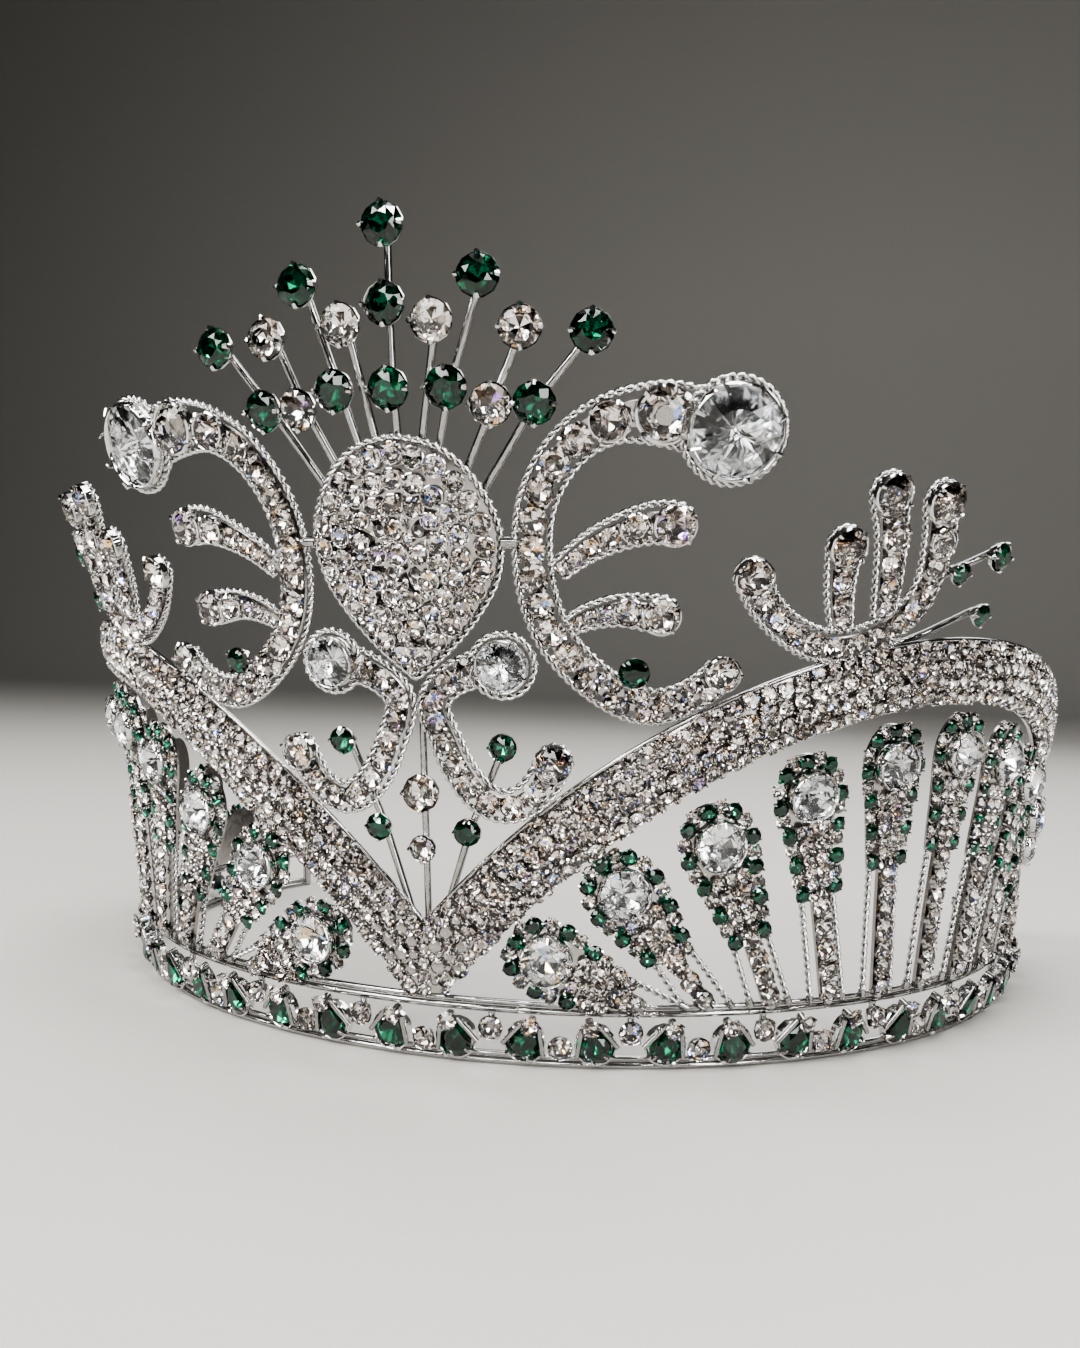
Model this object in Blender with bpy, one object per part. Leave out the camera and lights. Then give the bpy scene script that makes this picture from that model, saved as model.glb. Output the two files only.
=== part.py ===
"""Pageant crown: an open-backed rhinestone crown with fanned torches and a pear ornament.

The crown wall is a flared surface round the Z axis. Every ornament is laid out on it with two
numbers: its turn in degrees from the front (positive to the wearer's left, +X) and its height in
millimetres above the surface that the crown stands on. The front faces -Y.
"""
import math

import bmesh
import bpy
from mathutils import Vector

MM = 0.001
CLEARANCE = 0.3

# Flared wall: height and radius in millimetres
WALL = (
    (0.0, 80.0),
    (30.0, 84.0),
    (60.0, 90.0),
    (90.0, 100.5),
    (125.0, 105.5),
)

# Base gallery: two wires with leaning drop stones between them
GALLERY_HALF_TURN = 113.0
GALLERY_SEGMENTS = 36
WIRE_RADIUS = 0.9
UPPER_WIRE_HEIGHT = 8.1
LOWER_WIRE_SECTION = ((-0.9, 0.0), (0.9, 0.0), (1.1, 0.9), (0.5, 1.9), (-0.5, 1.9), (-1.1, 0.9))
DROP_STEP = 6.75
DROPS_PER_SIDE = 16
DROP_HEIGHT = 4.3
DROP_LEAN = 16.0
DROP_HALF = ((0.0, -3.5), (2.1, -2.8), (3.0, -0.6), (1.9, 1.6), (0.0, 3.7))
DROP_OUTLINE = (*DROP_HALF, *((-x, y) for x, y in reversed(DROP_HALF[1:-1])))
WIRE_TOP = UPPER_WIRE_HEIGHT + WIRE_RADIUS + CLEARANCE

# Ribbon: a band that rises from the front notch over each side and falls behind
ARCH_TOP_TURN = 54.4
ARCH_FOOT_HEIGHT = 13.6
ARCH_RISE = 42.8
ARCH_POWER = 2.1
RIBBON_HALF_WIDTH = 4.5
RIBBON_NOTCH_HALF_WIDTH = 3.5
RIBBON_SECTION = ((-1.0, -1.0), (1.0, -1.0), (1.0, 0.5), (0.45, 1.4), (-0.45, 1.4), (-1.0, 0.5))

# Torches of one side, front to arch top: turn and height of the big stone, head length below it
TORCHES = (
    {"turn": 12.0, "height": 15.4, "foot": 21.15, "head": 9.0},
    {"turn": 19.0, "height": 25.0, "foot": 27.8, "head": 11.5},
    {"turn": 27.6, "height": 31.8, "foot": 34.45, "head": 14.0},
    {"turn": 36.2, "height": 38.6, "foot": 41.1, "head": 15.5},
    {"turn": 45.2, "height": 42.8, "foot": 47.75, "head": 15.5},
    {"turn": 54.4, "height": 44.4, "foot": 54.4, "head": 15.0},
)
TORCH_HEAD_RADIUS = 5.6
TORCH_STONE_RADIUS = 3.8
TORCH_STEM_HALF = 1.45
TORCH_ROD_HALF = 0.5

# Pear plaque: half outline, sideways distance and height in millimetres
PEAR_HALF = (
    (0.0, 83.6),
    (5.6, 82.2),
    (10.2, 78.2),
    (12.8, 72.4),
    (12.2, 66.6),
    (9.2, 61.6),
    (5.0, 57.0),
    (0.0, 53.0),
)
PEAR_CENTRE_HEIGHT = 70.5
PEAR_RINGS = ((1.0, -0.9), (1.0, 0.5), (0.78, 1.9), (0.5, 2.7), (0.2, 3.0))
PEAR_PIERCINGS = ((-2.6, 72.4), (2.6, 72.4), (-1.6, 67.0), (1.6, 67.0))

# Side scrolls: turn, height and half width of the band along its middle
C_SCROLL = (
    (26.4, 55.0, 2.7),
    (25.0, 52.9, 2.6),
    (22.9, 51.0, 2.6),
    (20.4, 50.2, 2.7),
    (17.8, 51.4, 2.8),
    (15.0, 54.2, 2.8),
    (12.6, 58.0, 2.8),
    (11.1, 62.6, 2.8),
    (10.4, 68.0, 2.8),
    (10.5, 74.0, 2.8),
    (11.6, 79.0, 2.9),
    (13.6, 83.2, 3.1),
    (16.4, 85.8, 3.4),
    (19.7, 86.4, 4.2),
    (22.0, 85.8, 4.3),
)
C_UPPER_FINGER = ((11.6, 66.4, 2.0), (14.5, 70.2, 2.2), (17.0, 72.3, 2.6), (19.5, 73.6, 3.0), (21.2, 73.6, 3.1))
C_LOWER_FINGER = ((12.4, 59.8, 1.8), (15.0, 61.8, 2.0), (17.6, 62.7, 2.4), (20.8, 62.3, 2.8))
C_LUG = ((7.95, 70.8, 1.2), (10.2, 70.8, 1.2))
C_STONES = ((26.4, 55.0, 2.3), (19.7, 86.4, 3.5), (16.0, 85.4, 2.6), (21.0, 73.6, 2.7), (20.6, 62.3, 2.5))
C_GREEN = (18.9, 54.6, 2.0)
RIVOLI = (25.0, 84.6, 6.4)
RIVOLI_BACK = 0.9

S_SCROLL = (
    (7.8, 55.2, 3.4),
    (5.6, 54.9, 2.9),
    (3.6, 53.4, 2.6),
    (1.8, 51.0, 2.5),
    (1.45, 48.4, 2.5),
    (2.6, 44.8, 2.5),
    (3.6, 41.4, 2.6),
    (5.4, 37.8, 2.6),
    (7.6, 36.2, 2.6),
    (9.8, 37.1, 2.6),
    (11.3, 39.5, 2.7),
    (12.3, 42.4, 2.8),
)
S_STONE = (12.3, 42.4, 2.5)
EYE = (7.8, 55.2, 3.5)
EYE_BACK = 0.9

# Fan of rods above the pear: foot, then the stones from low to high
FAN_STONE_RADIUS = 2.7
ROD_RADIUS = 0.45
ROD_OUT = -1.7
FAN = {
    "centre": {"foot": (0.0, 77.0), "stones": ((0.0, 89.1), (0.0, 99.1), (0.0, 108.4))},
    "inner": {"foot": (1.3, 78.0), "stones": ((3.4, 96.9),)},
    "tall": {"foot": (2.6, 78.0), "stones": ((4.3, 89.1), (6.7, 102.0))},
    "middle": {"foot": (4.2, 75.5), "stones": ((7.5, 87.1), (9.6, 96.0))},
    "outer": {"foot": (5.0, 73.0), "stones": ((10.6, 87.2), (14.5, 95.6))},
}

# Sprays that rise from the front notch behind the S scrolls
NOTCH_CENTRE = {"foot": (0.0, 13.8), "stones": ((29.6, 1.9), (37.4, 2.6)), "end": 47.5}
NOTCH_SIDE = {"foot": (0.5, 14.4), "stones": ((4.4, 32.3, 1.9), (7.7, 44.1, 1.9))}

# Crest ornament over each side of the ribbon
CREST_DROP = 1.2
CREST_U = (
    (28.0, 68.8, 2.8),
    (29.5, 65.2, 2.5),
    (31.9, 62.2, 2.5),
    (34.9, 60.3, 2.6),
    (37.7, 60.3, 2.6),
    (40.4, 61.6, 2.6),
    (43.0, 64.2, 2.5),
    (44.6, 67.6, 2.4),
    (44.8, 71.8, 2.4),
    (44.3, 76.4, 2.6),
    (43.6, 79.8, 3.0),
)
CREST_SHORT_FINGER = ((37.0, 61.6, 2.0), (36.0, 67.5, 2.3), (35.5, 73.3, 2.9))
CREST_LONG_FINGER = ((41.0, 63.4, 2.0), (40.5, 69.0, 2.3), (39.6, 75.0, 2.4), (38.3, 80.2, 3.0))
CREST_STONES = ((28.0, 68.8, 2.6), (35.5, 73.3, 2.7), (38.3, 80.2, 2.8), (43.6, 79.8, 2.8))
CREST_SPRAYS = {
    "upper": {"path": ((44.0, 66.0), (47.0, 69.6), (52.9, 73.6)), "stones": ((48.4, 70.8, 1.7), (52.9, 73.6, 2.1))},
    "lower": {"path": ((42.0, 59.0), (47.5, 62.0), (53.0, 65.4)), "stones": ((53.0, 65.4, 1.7),)},
}

END_REACH = 0.85
END_NARROWING = 0.55
BAND_SECTION = ((-1.0, -0.9), (1.0, -0.9), (1.0, 0.5), (0.0, 1.5), (-1.0, 0.5))
PLATE_SECTION = ((-1.0, -1.0), (1.0, -1.0), (1.0, 0.8), (-1.0, 0.8))


def make_material(name, colour, metallic, roughness):
    """Return a Principled material with a constant colour."""
    material = bpy.data.materials.new(name)
    material.use_nodes = True
    shader = material.node_tree.nodes["Principled BSDF"]
    shader.inputs["Base Color"].default_value = (*colour, 1.0)
    shader.inputs["Metallic"].default_value = metallic
    shader.inputs["Roughness"].default_value = roughness
    material.diffuse_color = (*colour, 1.0)
    return material


def wall_radius(height):
    """Return the wall's radius at a height, smoothed through the WALL table."""
    rows = WALL
    height = max(rows[0][0], min(rows[-1][0], height))
    index = max(i for i in range(len(rows) - 1) if rows[i][0] <= height)

    def slope(i):
        low, high = max(i - 1, 0), min(i + 1, len(rows) - 1)
        return (rows[high][1] - rows[low][1]) / (rows[high][0] - rows[low][0])

    span = rows[index + 1][0] - rows[index][0]
    t = (height - rows[index][0]) / span
    start, end = rows[index][1], rows[index + 1][1]
    return ((2 * t ** 3 - 3 * t ** 2 + 1) * start + (t ** 3 - 2 * t ** 2 + t) * span * slope(index)
            + (3 * t ** 2 - 2 * t ** 3) * end + (t ** 3 - t ** 2) * span * slope(index + 1))


def wall_frame(turn, height):
    """Return the wall point in millimetres with its sideways, upward and outward directions."""
    angle = math.radians(turn)
    radius = wall_radius(height)
    flare = (wall_radius(height + 2.0) - wall_radius(height - 2.0)) / 4.0
    radial = Vector((math.sin(angle), -math.cos(angle), 0.0))
    east = Vector((math.cos(angle), math.sin(angle), 0.0))
    up = (radial * flare + Vector((0.0, 0.0, 1.0))).normalized()
    return radial * radius + Vector((0.0, 0.0, height)), east, up, east.cross(up)


def build_object(name, bm, material):
    """Turn a closed bmesh in millimetres into a named object with outward faces."""
    bmesh.ops.recalc_face_normals(bm, faces=bm.faces)
    bmesh.ops.scale(bm, vec=(MM, MM, MM), verts=bm.verts)
    mesh = bpy.data.meshes.new(name)
    bm.to_mesh(mesh)
    bm.free()
    mesh.materials.append(material)
    obj = bpy.data.objects.new(name, mesh)
    bpy.context.scene.collection.objects.link(obj)
    return obj


def skin_rings(rings):
    """Return a closed bmesh that joins equal rings of points and caps both ends."""
    bm = bmesh.new()
    loops = [[bm.verts.new(point) for point in ring] for ring in rings]
    count = len(loops[0])
    for low, high in zip(loops, loops[1:]):
        for i in range(count):
            j = (i + 1) % count
            bm.faces.new((low[i], low[j], high[j], high[i]))
    bm.faces.new(loops[0][::-1])
    bm.faces.new(loops[-1])
    return bm


def smooth_rows(rows, steps):
    """Return rows resampled on a Catmull-Rom curve, with steps spans between each pair."""
    first = [2 * a - b for a, b in zip(rows[0], rows[1])]
    last = [2 * a - b for a, b in zip(rows[-1], rows[-2])]
    padded = [first, *rows, last]
    result = []
    for i in range(1, len(padded) - 2):
        before, start, end, after = padded[i - 1:i + 3]
        for k in range(steps):
            t = k / steps
            result.append([0.5 * (2 * q + (r - p) * t + (2 * p - 5 * q + 4 * r - s) * t ** 2
                                  + (3 * q - p - 3 * r + s) * t ** 3)
                           for p, q, r, s in zip(before, start, end, after)])
    result.append(list(rows[-1]))
    return result


def band_rings(rows, section, grow=0.0, shift=None, round_start=False, round_end=False):
    """Return section rings along rows of (turn, height, half width), lying on the wall."""
    places = [wall_frame(row[0], row[1]) for row in rows]
    rings = []

    def ring(point, side, normal, half, sideways):
        return [point + side * (sideways + s * (half + grow)) + normal * (n + math.copysign(grow, n))
                for s, n in section]

    last = len(rows) - 1
    for i, (point, _east, _up, normal) in enumerate(places):
        ahead = places[min(i + 1, last)][0] - places[max(i - 1, 0)][0]
        ahead = (ahead - normal * ahead.dot(normal)).normalized()
        side = ahead.cross(normal)
        half = rows[i][2]
        sideways = shift[i] if shift else 0.0
        ends = []
        if (i == 0 and round_start) or (i == last and round_end):
            direction = -1.0 if i == 0 else 1.0
            tip = point + ahead * direction * END_REACH * (half + grow)
            ends.append(ring(tip, side, normal, half * END_NARROWING, sideways))
        if i == 0:
            rings.extend(ends)
        rings.append(ring(point, side, normal, half, sideways))
        if i == last:
            rings.extend(ends)
    return rings


def make_band(name, material, rows, section=BAND_SECTION, steps=2, **options):
    """Return an object that sweeps a section along a smoothed path on the wall."""
    return build_object(name, skin_rings(band_rings(smooth_rows(rows, steps), section, **options)), material)


def make_stone(name, material, turn, height, radius, back, rise, sides=8, outline=None, lean=0.0):
    """Return a cut stone with a flat table, a faceted crown and a tapered back."""
    point, east, up, normal = wall_frame(turn, height)
    if outline is None:
        outline = [(radius * math.sin(math.tau * i / sides), radius * math.cos(math.tau * i / sides))
                   for i in range(sides)]
    tilt = math.radians(lean)
    across = east * math.cos(tilt) - up * math.sin(tilt)
    along = east * math.sin(tilt) + up * math.cos(tilt)
    levels = ((0.62, back), (1.0, back + 0.62 * (rise - back)), (0.58, rise))
    rings = [[point + across * x * scale + along * y * scale + normal * out for x, y in outline]
             for scale, out in levels]
    return build_object(name, skin_rings(rings), material)


def make_rod(name, material, stops, radius, out):
    """Return a six-sided rod through (turn, height) stops, set back from the wall."""
    rows = [(turn, height, radius) for turn, height in stops]
    section = [(math.cos(math.tau * i / 6), out + radius * math.sin(math.tau * i / 6)) for i in range(6)]
    return build_object(name, skin_rings(band_rings(rows, section)), material)


def settle(obj):
    """Apply the object's modifiers to its mesh."""
    graph = bpy.context.evaluated_depsgraph_get()
    mesh = bpy.data.meshes.new_from_object(obj.evaluated_get(graph))
    old = obj.data
    obj.modifiers.clear()
    obj.data = mesh
    mesh.name = obj.name
    bpy.data.meshes.remove(old)
    return obj


def combine(target, others, operation="UNION"):
    """Fuse the others into the target, or cut them out of it, and remove them."""
    for other in others:
        modifier = target.modifiers.new(operation.lower(), "BOOLEAN")
        modifier.operation = operation
        modifier.solver = "EXACT"
        modifier.object = other
    settle(target)
    for other in others:
        bpy.data.objects.remove(other, do_unlink=True)
    return target


def cut_plane(obj, point, normal):
    """Cut away the side of a plane that its normal points to, and close the cut."""
    bm = bmesh.new()
    bm.from_mesh(obj.data)
    result = bmesh.ops.bisect_plane(bm, geom=bm.verts[:] + bm.edges[:] + bm.faces[:], dist=1e-7,
                                    plane_co=Vector(point) * MM, plane_no=normal, clear_outer=True)
    edges = [item for item in result["geom_cut"] if isinstance(item, bmesh.types.BMEdge)]
    bmesh.ops.holes_fill(bm, edges=edges)
    bmesh.ops.recalc_face_normals(bm, faces=bm.faces)
    bm.to_mesh(obj.data)
    bm.free()
    return obj


def mirrored(rows, side):
    """Return rows with their turn on the given side."""
    return [(row[0] * side, *row[1:]) for row in rows]


def ribbon_rows(count=26):
    """Return the ribbon's middle line from just past the notch to its far foot."""
    rows = []
    for i in range(count + 1):
        turn = -1.6 + (2 * ARCH_TOP_TURN + 2.6) * i / count
        from_foot = min(abs(turn), abs(2 * ARCH_TOP_TURN - turn))
        swell = min(1.0, from_foot / 16.0)
        across = abs(1.0 - turn / ARCH_TOP_TURN)
        height = ARCH_FOOT_HEIGHT + ARCH_RISE * (1.0 - across ** ARCH_POWER)
        half = RIBBON_NOTCH_HALF_WIDTH + (RIBBON_HALF_WIDTH - RIBBON_NOTCH_HALF_WIDTH) * swell
        rows.append((turn, height, half))
    return rows


def make_ribbon(name, material, side, grow=0.0):
    """Return one side's ribbon, cut at the middle plane and above the upper wire."""
    ribbon = build_object(name, skin_rings(band_rings(mirrored(ribbon_rows(), side), RIBBON_SECTION, grow=grow)),
                          material)
    cut_plane(ribbon, (side * (CLEARANCE / 2 - grow), 0.0, 0.0), (-side, 0.0, 0.0))
    return cut_plane(ribbon, (0.0, 0.0, WIRE_TOP - grow), (0.0, 0.0, -1.0))


def make_hoop(name, material, section):
    """Return an open hoop with a section of (outward, height) points in millimetres."""
    rings = []
    for i in range(GALLERY_SEGMENTS + 1):
        angle = math.radians(GALLERY_HALF_TURN * (2.0 * i / GALLERY_SEGMENTS - 1.0))
        rings.append([Vector((math.sin(angle), -math.cos(angle), 0.0)) * (WALL[0][1] + 0.6 + out)
                      + Vector((0.0, 0.0, height)) for out, height in section])
    return build_object(name, skin_rings(rings), material)


def make_gallery(metal, green):
    """Return the base: two wires, end bars and the row of drop stones, soldered together."""
    lower = make_hoop("gallery", metal, LOWER_WIRE_SECTION)
    corners = [math.tau * i / 6 for i in range(6)]
    round_section = [(WIRE_RADIUS * math.cos(a), UPPER_WIRE_HEIGHT + WIRE_RADIUS * math.sin(a)) for a in corners]
    parts = [make_hoop("upper_wire", metal, round_section)]
    for side in (-1, 1):
        turn = side * (GALLERY_HALF_TURN - 1.2)
        bar = [(-0.95, -0.5), (0.95, -0.5), (0.95, 1.3), (-0.95, 1.3)]
        rows = [(turn, 0.9, 1.0), (turn, 4.5, 1.0), (turn, UPPER_WIRE_HEIGHT, 1.0)]
        parts.append(build_object("end_bar", skin_rings(band_rings(rows, bar)), metal))
        for i in range(DROPS_PER_SIDE):
            lean = -DROP_LEAN * side if i % 2 == 0 else DROP_LEAN * side
            parts.append(make_stone("drop", green, side * DROP_STEP * (i + 0.5), DROP_HEIGHT, 0.0, -0.2, 2.5,
                                    outline=DROP_OUTLINE, lean=lean))
    return combine(lower, parts)


def make_torch(name, metal, side, row, ribbon_cutter):
    """Return one torch: a stone-set head on a stem between two side wires."""
    foot = Vector((row["foot"], WIRE_TOP))
    head = Vector((row["turn"], row["height"]))
    scale = Vector((math.radians(1.0) * wall_radius(head.y * 0.6), 1.0))
    length = ((head - foot) * scale).length
    per_mm = (head - foot) / length

    def at(distance):
        return head + per_mm * distance

    radius = TORCH_HEAD_RADIUS
    profile = ((-row["head"], 3.1), (1.2 - row["head"], 3.5), (-6.0, 4.6), (-1.0, radius), (1.5, radius),
               (4.2, 0.68 * radius), (radius, 0.25 * radius))
    rows = [(*at(distance), half) for distance, half in profile]
    plate = build_object(name, skin_rings(band_rings(mirrored(rows, side), PLATE_SECTION)), metal)
    stops = [-length - 2.5, (-length - row["head"]) / 2.0, 1.5 - row["head"]]
    parts = []
    for part, half, shifts in (("stem", TORCH_STEM_HALF, (0.0, 0.0, 0.0)), ("rod", TORCH_ROD_HALF, (2.1, 2.4, 2.75)),
                               ("rod", TORCH_ROD_HALF, (-2.1, -2.4, -2.75))):
        rows = [(*at(distance), half) for distance in stops]
        section = ((-1.0, -0.6), (1.0, -0.6), (1.0, 0.6), (-1.0, 0.6))
        parts.append(build_object(part, skin_rings(band_rings(mirrored(rows, side), section, shift=shifts)), metal))
    parts.append(make_stone("stone", metal, head.x * side, head.y, TORCH_STONE_RADIUS, 0.2, 3.1))
    combine(plate, parts)
    cut_plane(plate, (0.0, 0.0, WIRE_TOP), (0.0, 0.0, -1.0))
    modifier = plate.modifiers.new("ribbon", "BOOLEAN")
    modifier.operation = "DIFFERENCE"
    modifier.solver = "EXACT"
    modifier.object = ribbon_cutter
    return settle(plate)


def torch_rows():
    """Return one side's torches from the notch over the arch to its far foot."""
    centre = ARCH_TOP_TURN
    behind = [{**row, "turn": 2 * centre - row["turn"], "foot": 2 * centre - row["foot"]}
              for row in reversed(TORCHES[:-1])]
    return [*TORCHES, *behind]


def trim(obj, cutter):
    """Cut a grown neighbour out of an object, keeping the neighbour."""
    modifier = obj.modifiers.new("trim", "BOOLEAN")
    modifier.operation = "DIFFERENCE"
    modifier.solver = "EXACT"
    modifier.object = cutter
    return settle(obj)


def make_c_scroll(name, metal, side, ribbon_cutter):
    """Return a side scroll with its two fingers, lug and small stones."""
    scroll = make_band(name, metal, mirrored(C_SCROLL, side), round_start=True, round_end=True)
    parts = [
        make_band("finger", metal, mirrored(C_UPPER_FINGER, side), round_end=True),
        make_band("finger", metal, mirrored(C_LOWER_FINGER, side), round_end=True),
        build_object("lug", skin_rings(band_rings(mirrored(C_LUG, side), PLATE_SECTION)), metal),
        make_stone("cup", metal, RIVOLI[0] * side, RIVOLI[1], RIVOLI[2] + 0.5, -1.0, 0.6, sides=12),
        make_stone("green", metal, C_GREEN[0] * side, C_GREEN[1], C_GREEN[2], -0.8, 1.8),
    ]
    parts += [make_stone("stone", metal, turn * side, height, radius, 0.1, 2.6) for turn, height, radius in C_STONES]
    combine(scroll, parts)
    seat = make_stone("seat", metal, RIVOLI[0] * side, RIVOLI[1], RIVOLI[2] + 0.5, RIVOLI_BACK - CLEARANCE, 4.6,
                      sides=12)
    combine(scroll, [seat], "DIFFERENCE")
    return trim(scroll, ribbon_cutter)


def make_crest(name, metal, side, ribbon_cutter):
    """Return a crest: a U-shaped scroll with two fingers and four tip stones."""
    def placed(rows):
        return [(turn * side, height - CREST_DROP, half) for turn, height, half in rows]

    crest = make_band(name, metal, placed(CREST_U), round_start=True, round_end=True)
    parts = [
        make_band("finger", metal, placed(CREST_SHORT_FINGER), round_end=True),
        make_band("finger", metal, placed(CREST_LONG_FINGER), round_end=True),
    ]
    parts += [make_stone("stone", metal, turn, height, radius, 0.1, 2.6)
              for turn, height, radius in placed(CREST_STONES)]
    return trim(combine(crest, parts), ribbon_cutter)


def make_crest_spray(name, metal, side, row):
    """Return a thin rod behind the crest with its small stones."""
    stops = [(turn * side, height - CREST_DROP) for turn, height in row["path"]]
    rod = make_rod(name, metal, stops, ROD_RADIUS, ROD_OUT)
    stones = [make_stone("stone", metal, turn * side, height - CREST_DROP, radius, -2.0, 1.2)
              for turn, height, radius in row["stones"]]
    return combine(rod, stones)


def make_s_scrolls(metal):
    """Return both S scrolls, soldered where they meet under the pear."""
    pair = []
    for side in (1, -1):
        scroll = make_band("s_scrolls", metal, mirrored(S_SCROLL, side), round_start=True, round_end=True)
        parts = [
            make_stone("cup", metal, EYE[0] * side, EYE[1], EYE[2] + 0.5, -0.9, 0.6, sides=10),
            make_stone("stone", metal, S_STONE[0] * side, S_STONE[1], S_STONE[2], 0.1, 2.6),
        ]
        pair.append(combine(scroll, parts))
    scrolls = combine(pair[0], [pair[1]])
    seats = [make_stone("seat", metal, EYE[0] * side, EYE[1], EYE[2] + 0.5, EYE_BACK - CLEARANCE, 4.6, sides=10)
             for side in (1, -1)]
    return combine(scrolls, seats, "DIFFERENCE")


def make_pear(metal, scroll_cutters):
    """Return the domed, pierced pear plaque."""
    outline = [*PEAR_HALF, *((-x, y) for x, y in reversed(PEAR_HALF[1:-1]))]
    rings = []
    for scale, out in PEAR_RINGS:
        ring = []
        for x, y in outline:
            height = PEAR_CENTRE_HEIGHT + (y - PEAR_CENTRE_HEIGHT) * scale
            turn = math.degrees(x * scale / wall_radius(height))
            point, _east, _up, normal = wall_frame(turn, height)
            ring.append(point + normal * out)
        rings.append(ring)
    pear = build_object("pear_plaque", skin_rings(rings), metal)
    holes = []
    for x, height in PEAR_PIERCINGS:
        turn = math.degrees(x / wall_radius(height))
        point, east, up, normal = wall_frame(turn, height)
        hole = [[point + (east * math.cos(math.tau * i / 6) + up * math.sin(math.tau * i / 6)) * 0.8 + normal * out
                 for i in range(6)] for out in (-3.0, 6.0)]
        holes.append(build_object("hole", skin_rings(hole), metal))
    combine(pear, holes, "DIFFERENCE")
    for cutter in scroll_cutters:
        trim(pear, cutter)
    return pear


def make_fan_spray(name, metal, side, row):
    """Return one rod of the fan with its round stones."""
    stops = mirrored([row["foot"], *row["stones"]], side)
    rod = make_rod(name, metal, stops, ROD_RADIUS, ROD_OUT)
    stones = [make_stone("stone", metal, turn * side, height, FAN_STONE_RADIUS, -2.1, 1.6)
              for turn, height in row["stones"]]
    return combine(rod, stones)


def make_notch_sprays(metal):
    """Return the three sprays that leave the front notch, joined at their feet."""
    foot = NOTCH_CENTRE["foot"]
    middle = make_rod("notch_sprays", metal, [foot, (foot[0], NOTCH_CENTRE["end"])], ROD_RADIUS, ROD_OUT)
    parts = [make_stone("stone", metal, 0.0, height, radius, -2.1, 1.3) for height, radius in NOTCH_CENTRE["stones"]]
    for side in (1, -1):
        stops = mirrored([NOTCH_SIDE["foot"], *[stone[:2] for stone in NOTCH_SIDE["stones"]]], side)
        parts.append(make_rod("rod", metal, stops, ROD_RADIUS, ROD_OUT))
        parts += [make_stone("stone", metal, turn * side, height, radius, -2.1, 1.3)
                  for turn, height, radius in NOTCH_SIDE["stones"]]
    return combine(middle, parts)


def stand_on_origin(pieces):
    """Parent the pieces to an empty and move it so that their box stands centred on the origin."""
    bpy.context.view_layer.update()
    ys = [vertex.co.y for piece in pieces for vertex in piece.data.vertices]
    stand = bpy.data.objects.new("crown", None)
    bpy.context.scene.collection.objects.link(stand)
    stand.location.y = -round((min(ys) + max(ys)) / 2.0, 6)
    for piece in pieces:
        piece.parent = stand


def main():
    """Build every piece of the crown."""
    for old in list(bpy.data.objects):
        bpy.data.objects.remove(old, do_unlink=True)
    metal = make_material("rhodium_metal", (0.82, 0.81, 0.79), 1.0, 0.16)
    crystal = make_material("clear_crystal", (0.88, 0.87, 0.86), 0.3, 0.05)
    green = make_material("green_crystal", (0.005, 0.16, 0.10), 0.3, 0.06)

    pieces = [make_gallery(metal, green)]
    cutters = {}
    for side, label in ((1, "left"), (-1, "right")):
        pieces.append(make_ribbon(f"ribbon_{label}", metal, side))
        cutters[side] = make_ribbon("ribbon_cutter", metal, side, grow=CLEARANCE)
    for side, label in ((1, "left"), (-1, "right")):
        for number, row in enumerate(torch_rows(), start=1):
            pieces.append(make_torch(f"torch_{label}_{number:02d}", metal, side, row, cutters[side]))
        pieces.append(make_c_scroll(f"c_scroll_{label}", metal, side, cutters[side]))
        pieces.append(make_stone(f"rivoli_{label}", crystal, RIVOLI[0] * side, RIVOLI[1], RIVOLI[2], RIVOLI_BACK, 3.9,
                                 sides=12))
        pieces.append(make_stone(f"eye_stone_{label}", crystal, EYE[0] * side, EYE[1], EYE[2], EYE_BACK, 3.6,
                                 sides=10))
        pieces.append(make_crest(f"crest_{label}", metal, side, cutters[side]))
        for part, row in CREST_SPRAYS.items():
            pieces.append(make_crest_spray(f"crest_spray_{label}_{part}", metal, side, row))

    scrolls = make_s_scrolls(metal)
    for side in (1, -1):
        trim(scrolls, cutters[side])
    pieces.append(scrolls)
    scroll_cutters = [make_band("scroll_cutter", metal, mirrored(S_SCROLL, side), grow=CLEARANCE, round_start=True,
                                round_end=True) for side in (1, -1)]
    pieces.append(make_pear(metal, scroll_cutters))
    pieces.append(make_notch_sprays(metal))
    pieces.append(make_fan_spray("fan_centre", green, 1, FAN["centre"]))
    for part in ("inner", "tall", "middle", "outer"):
        stone = crystal if part in ("inner", "middle") else green
        for side, label in ((1, "left"), (-1, "right")):
            pieces.append(make_fan_spray(f"fan_{part}_{label}", stone, side, FAN[part]))

    for cutter in (*cutters.values(), *scroll_cutters):
        bpy.data.objects.remove(cutter, do_unlink=True)
    stand_on_origin(pieces)


main()
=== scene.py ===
"""Looks of an open-backed pageant crown: pavé ribbon, fanned torches, scrolls, pear plaque and sprays.

Every piece is laid out on the crown's flared wall by its turn in degrees from the front and its
height in millimetres above the surface that the crown stands on.
"""
from __future__ import annotations

import logging
import math
import random
from dataclasses import dataclass, field
from enum import Enum
from typing import Optional, Sequence, Union

import bmesh
import bpy
from mathutils import Matrix, Vector

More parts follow.
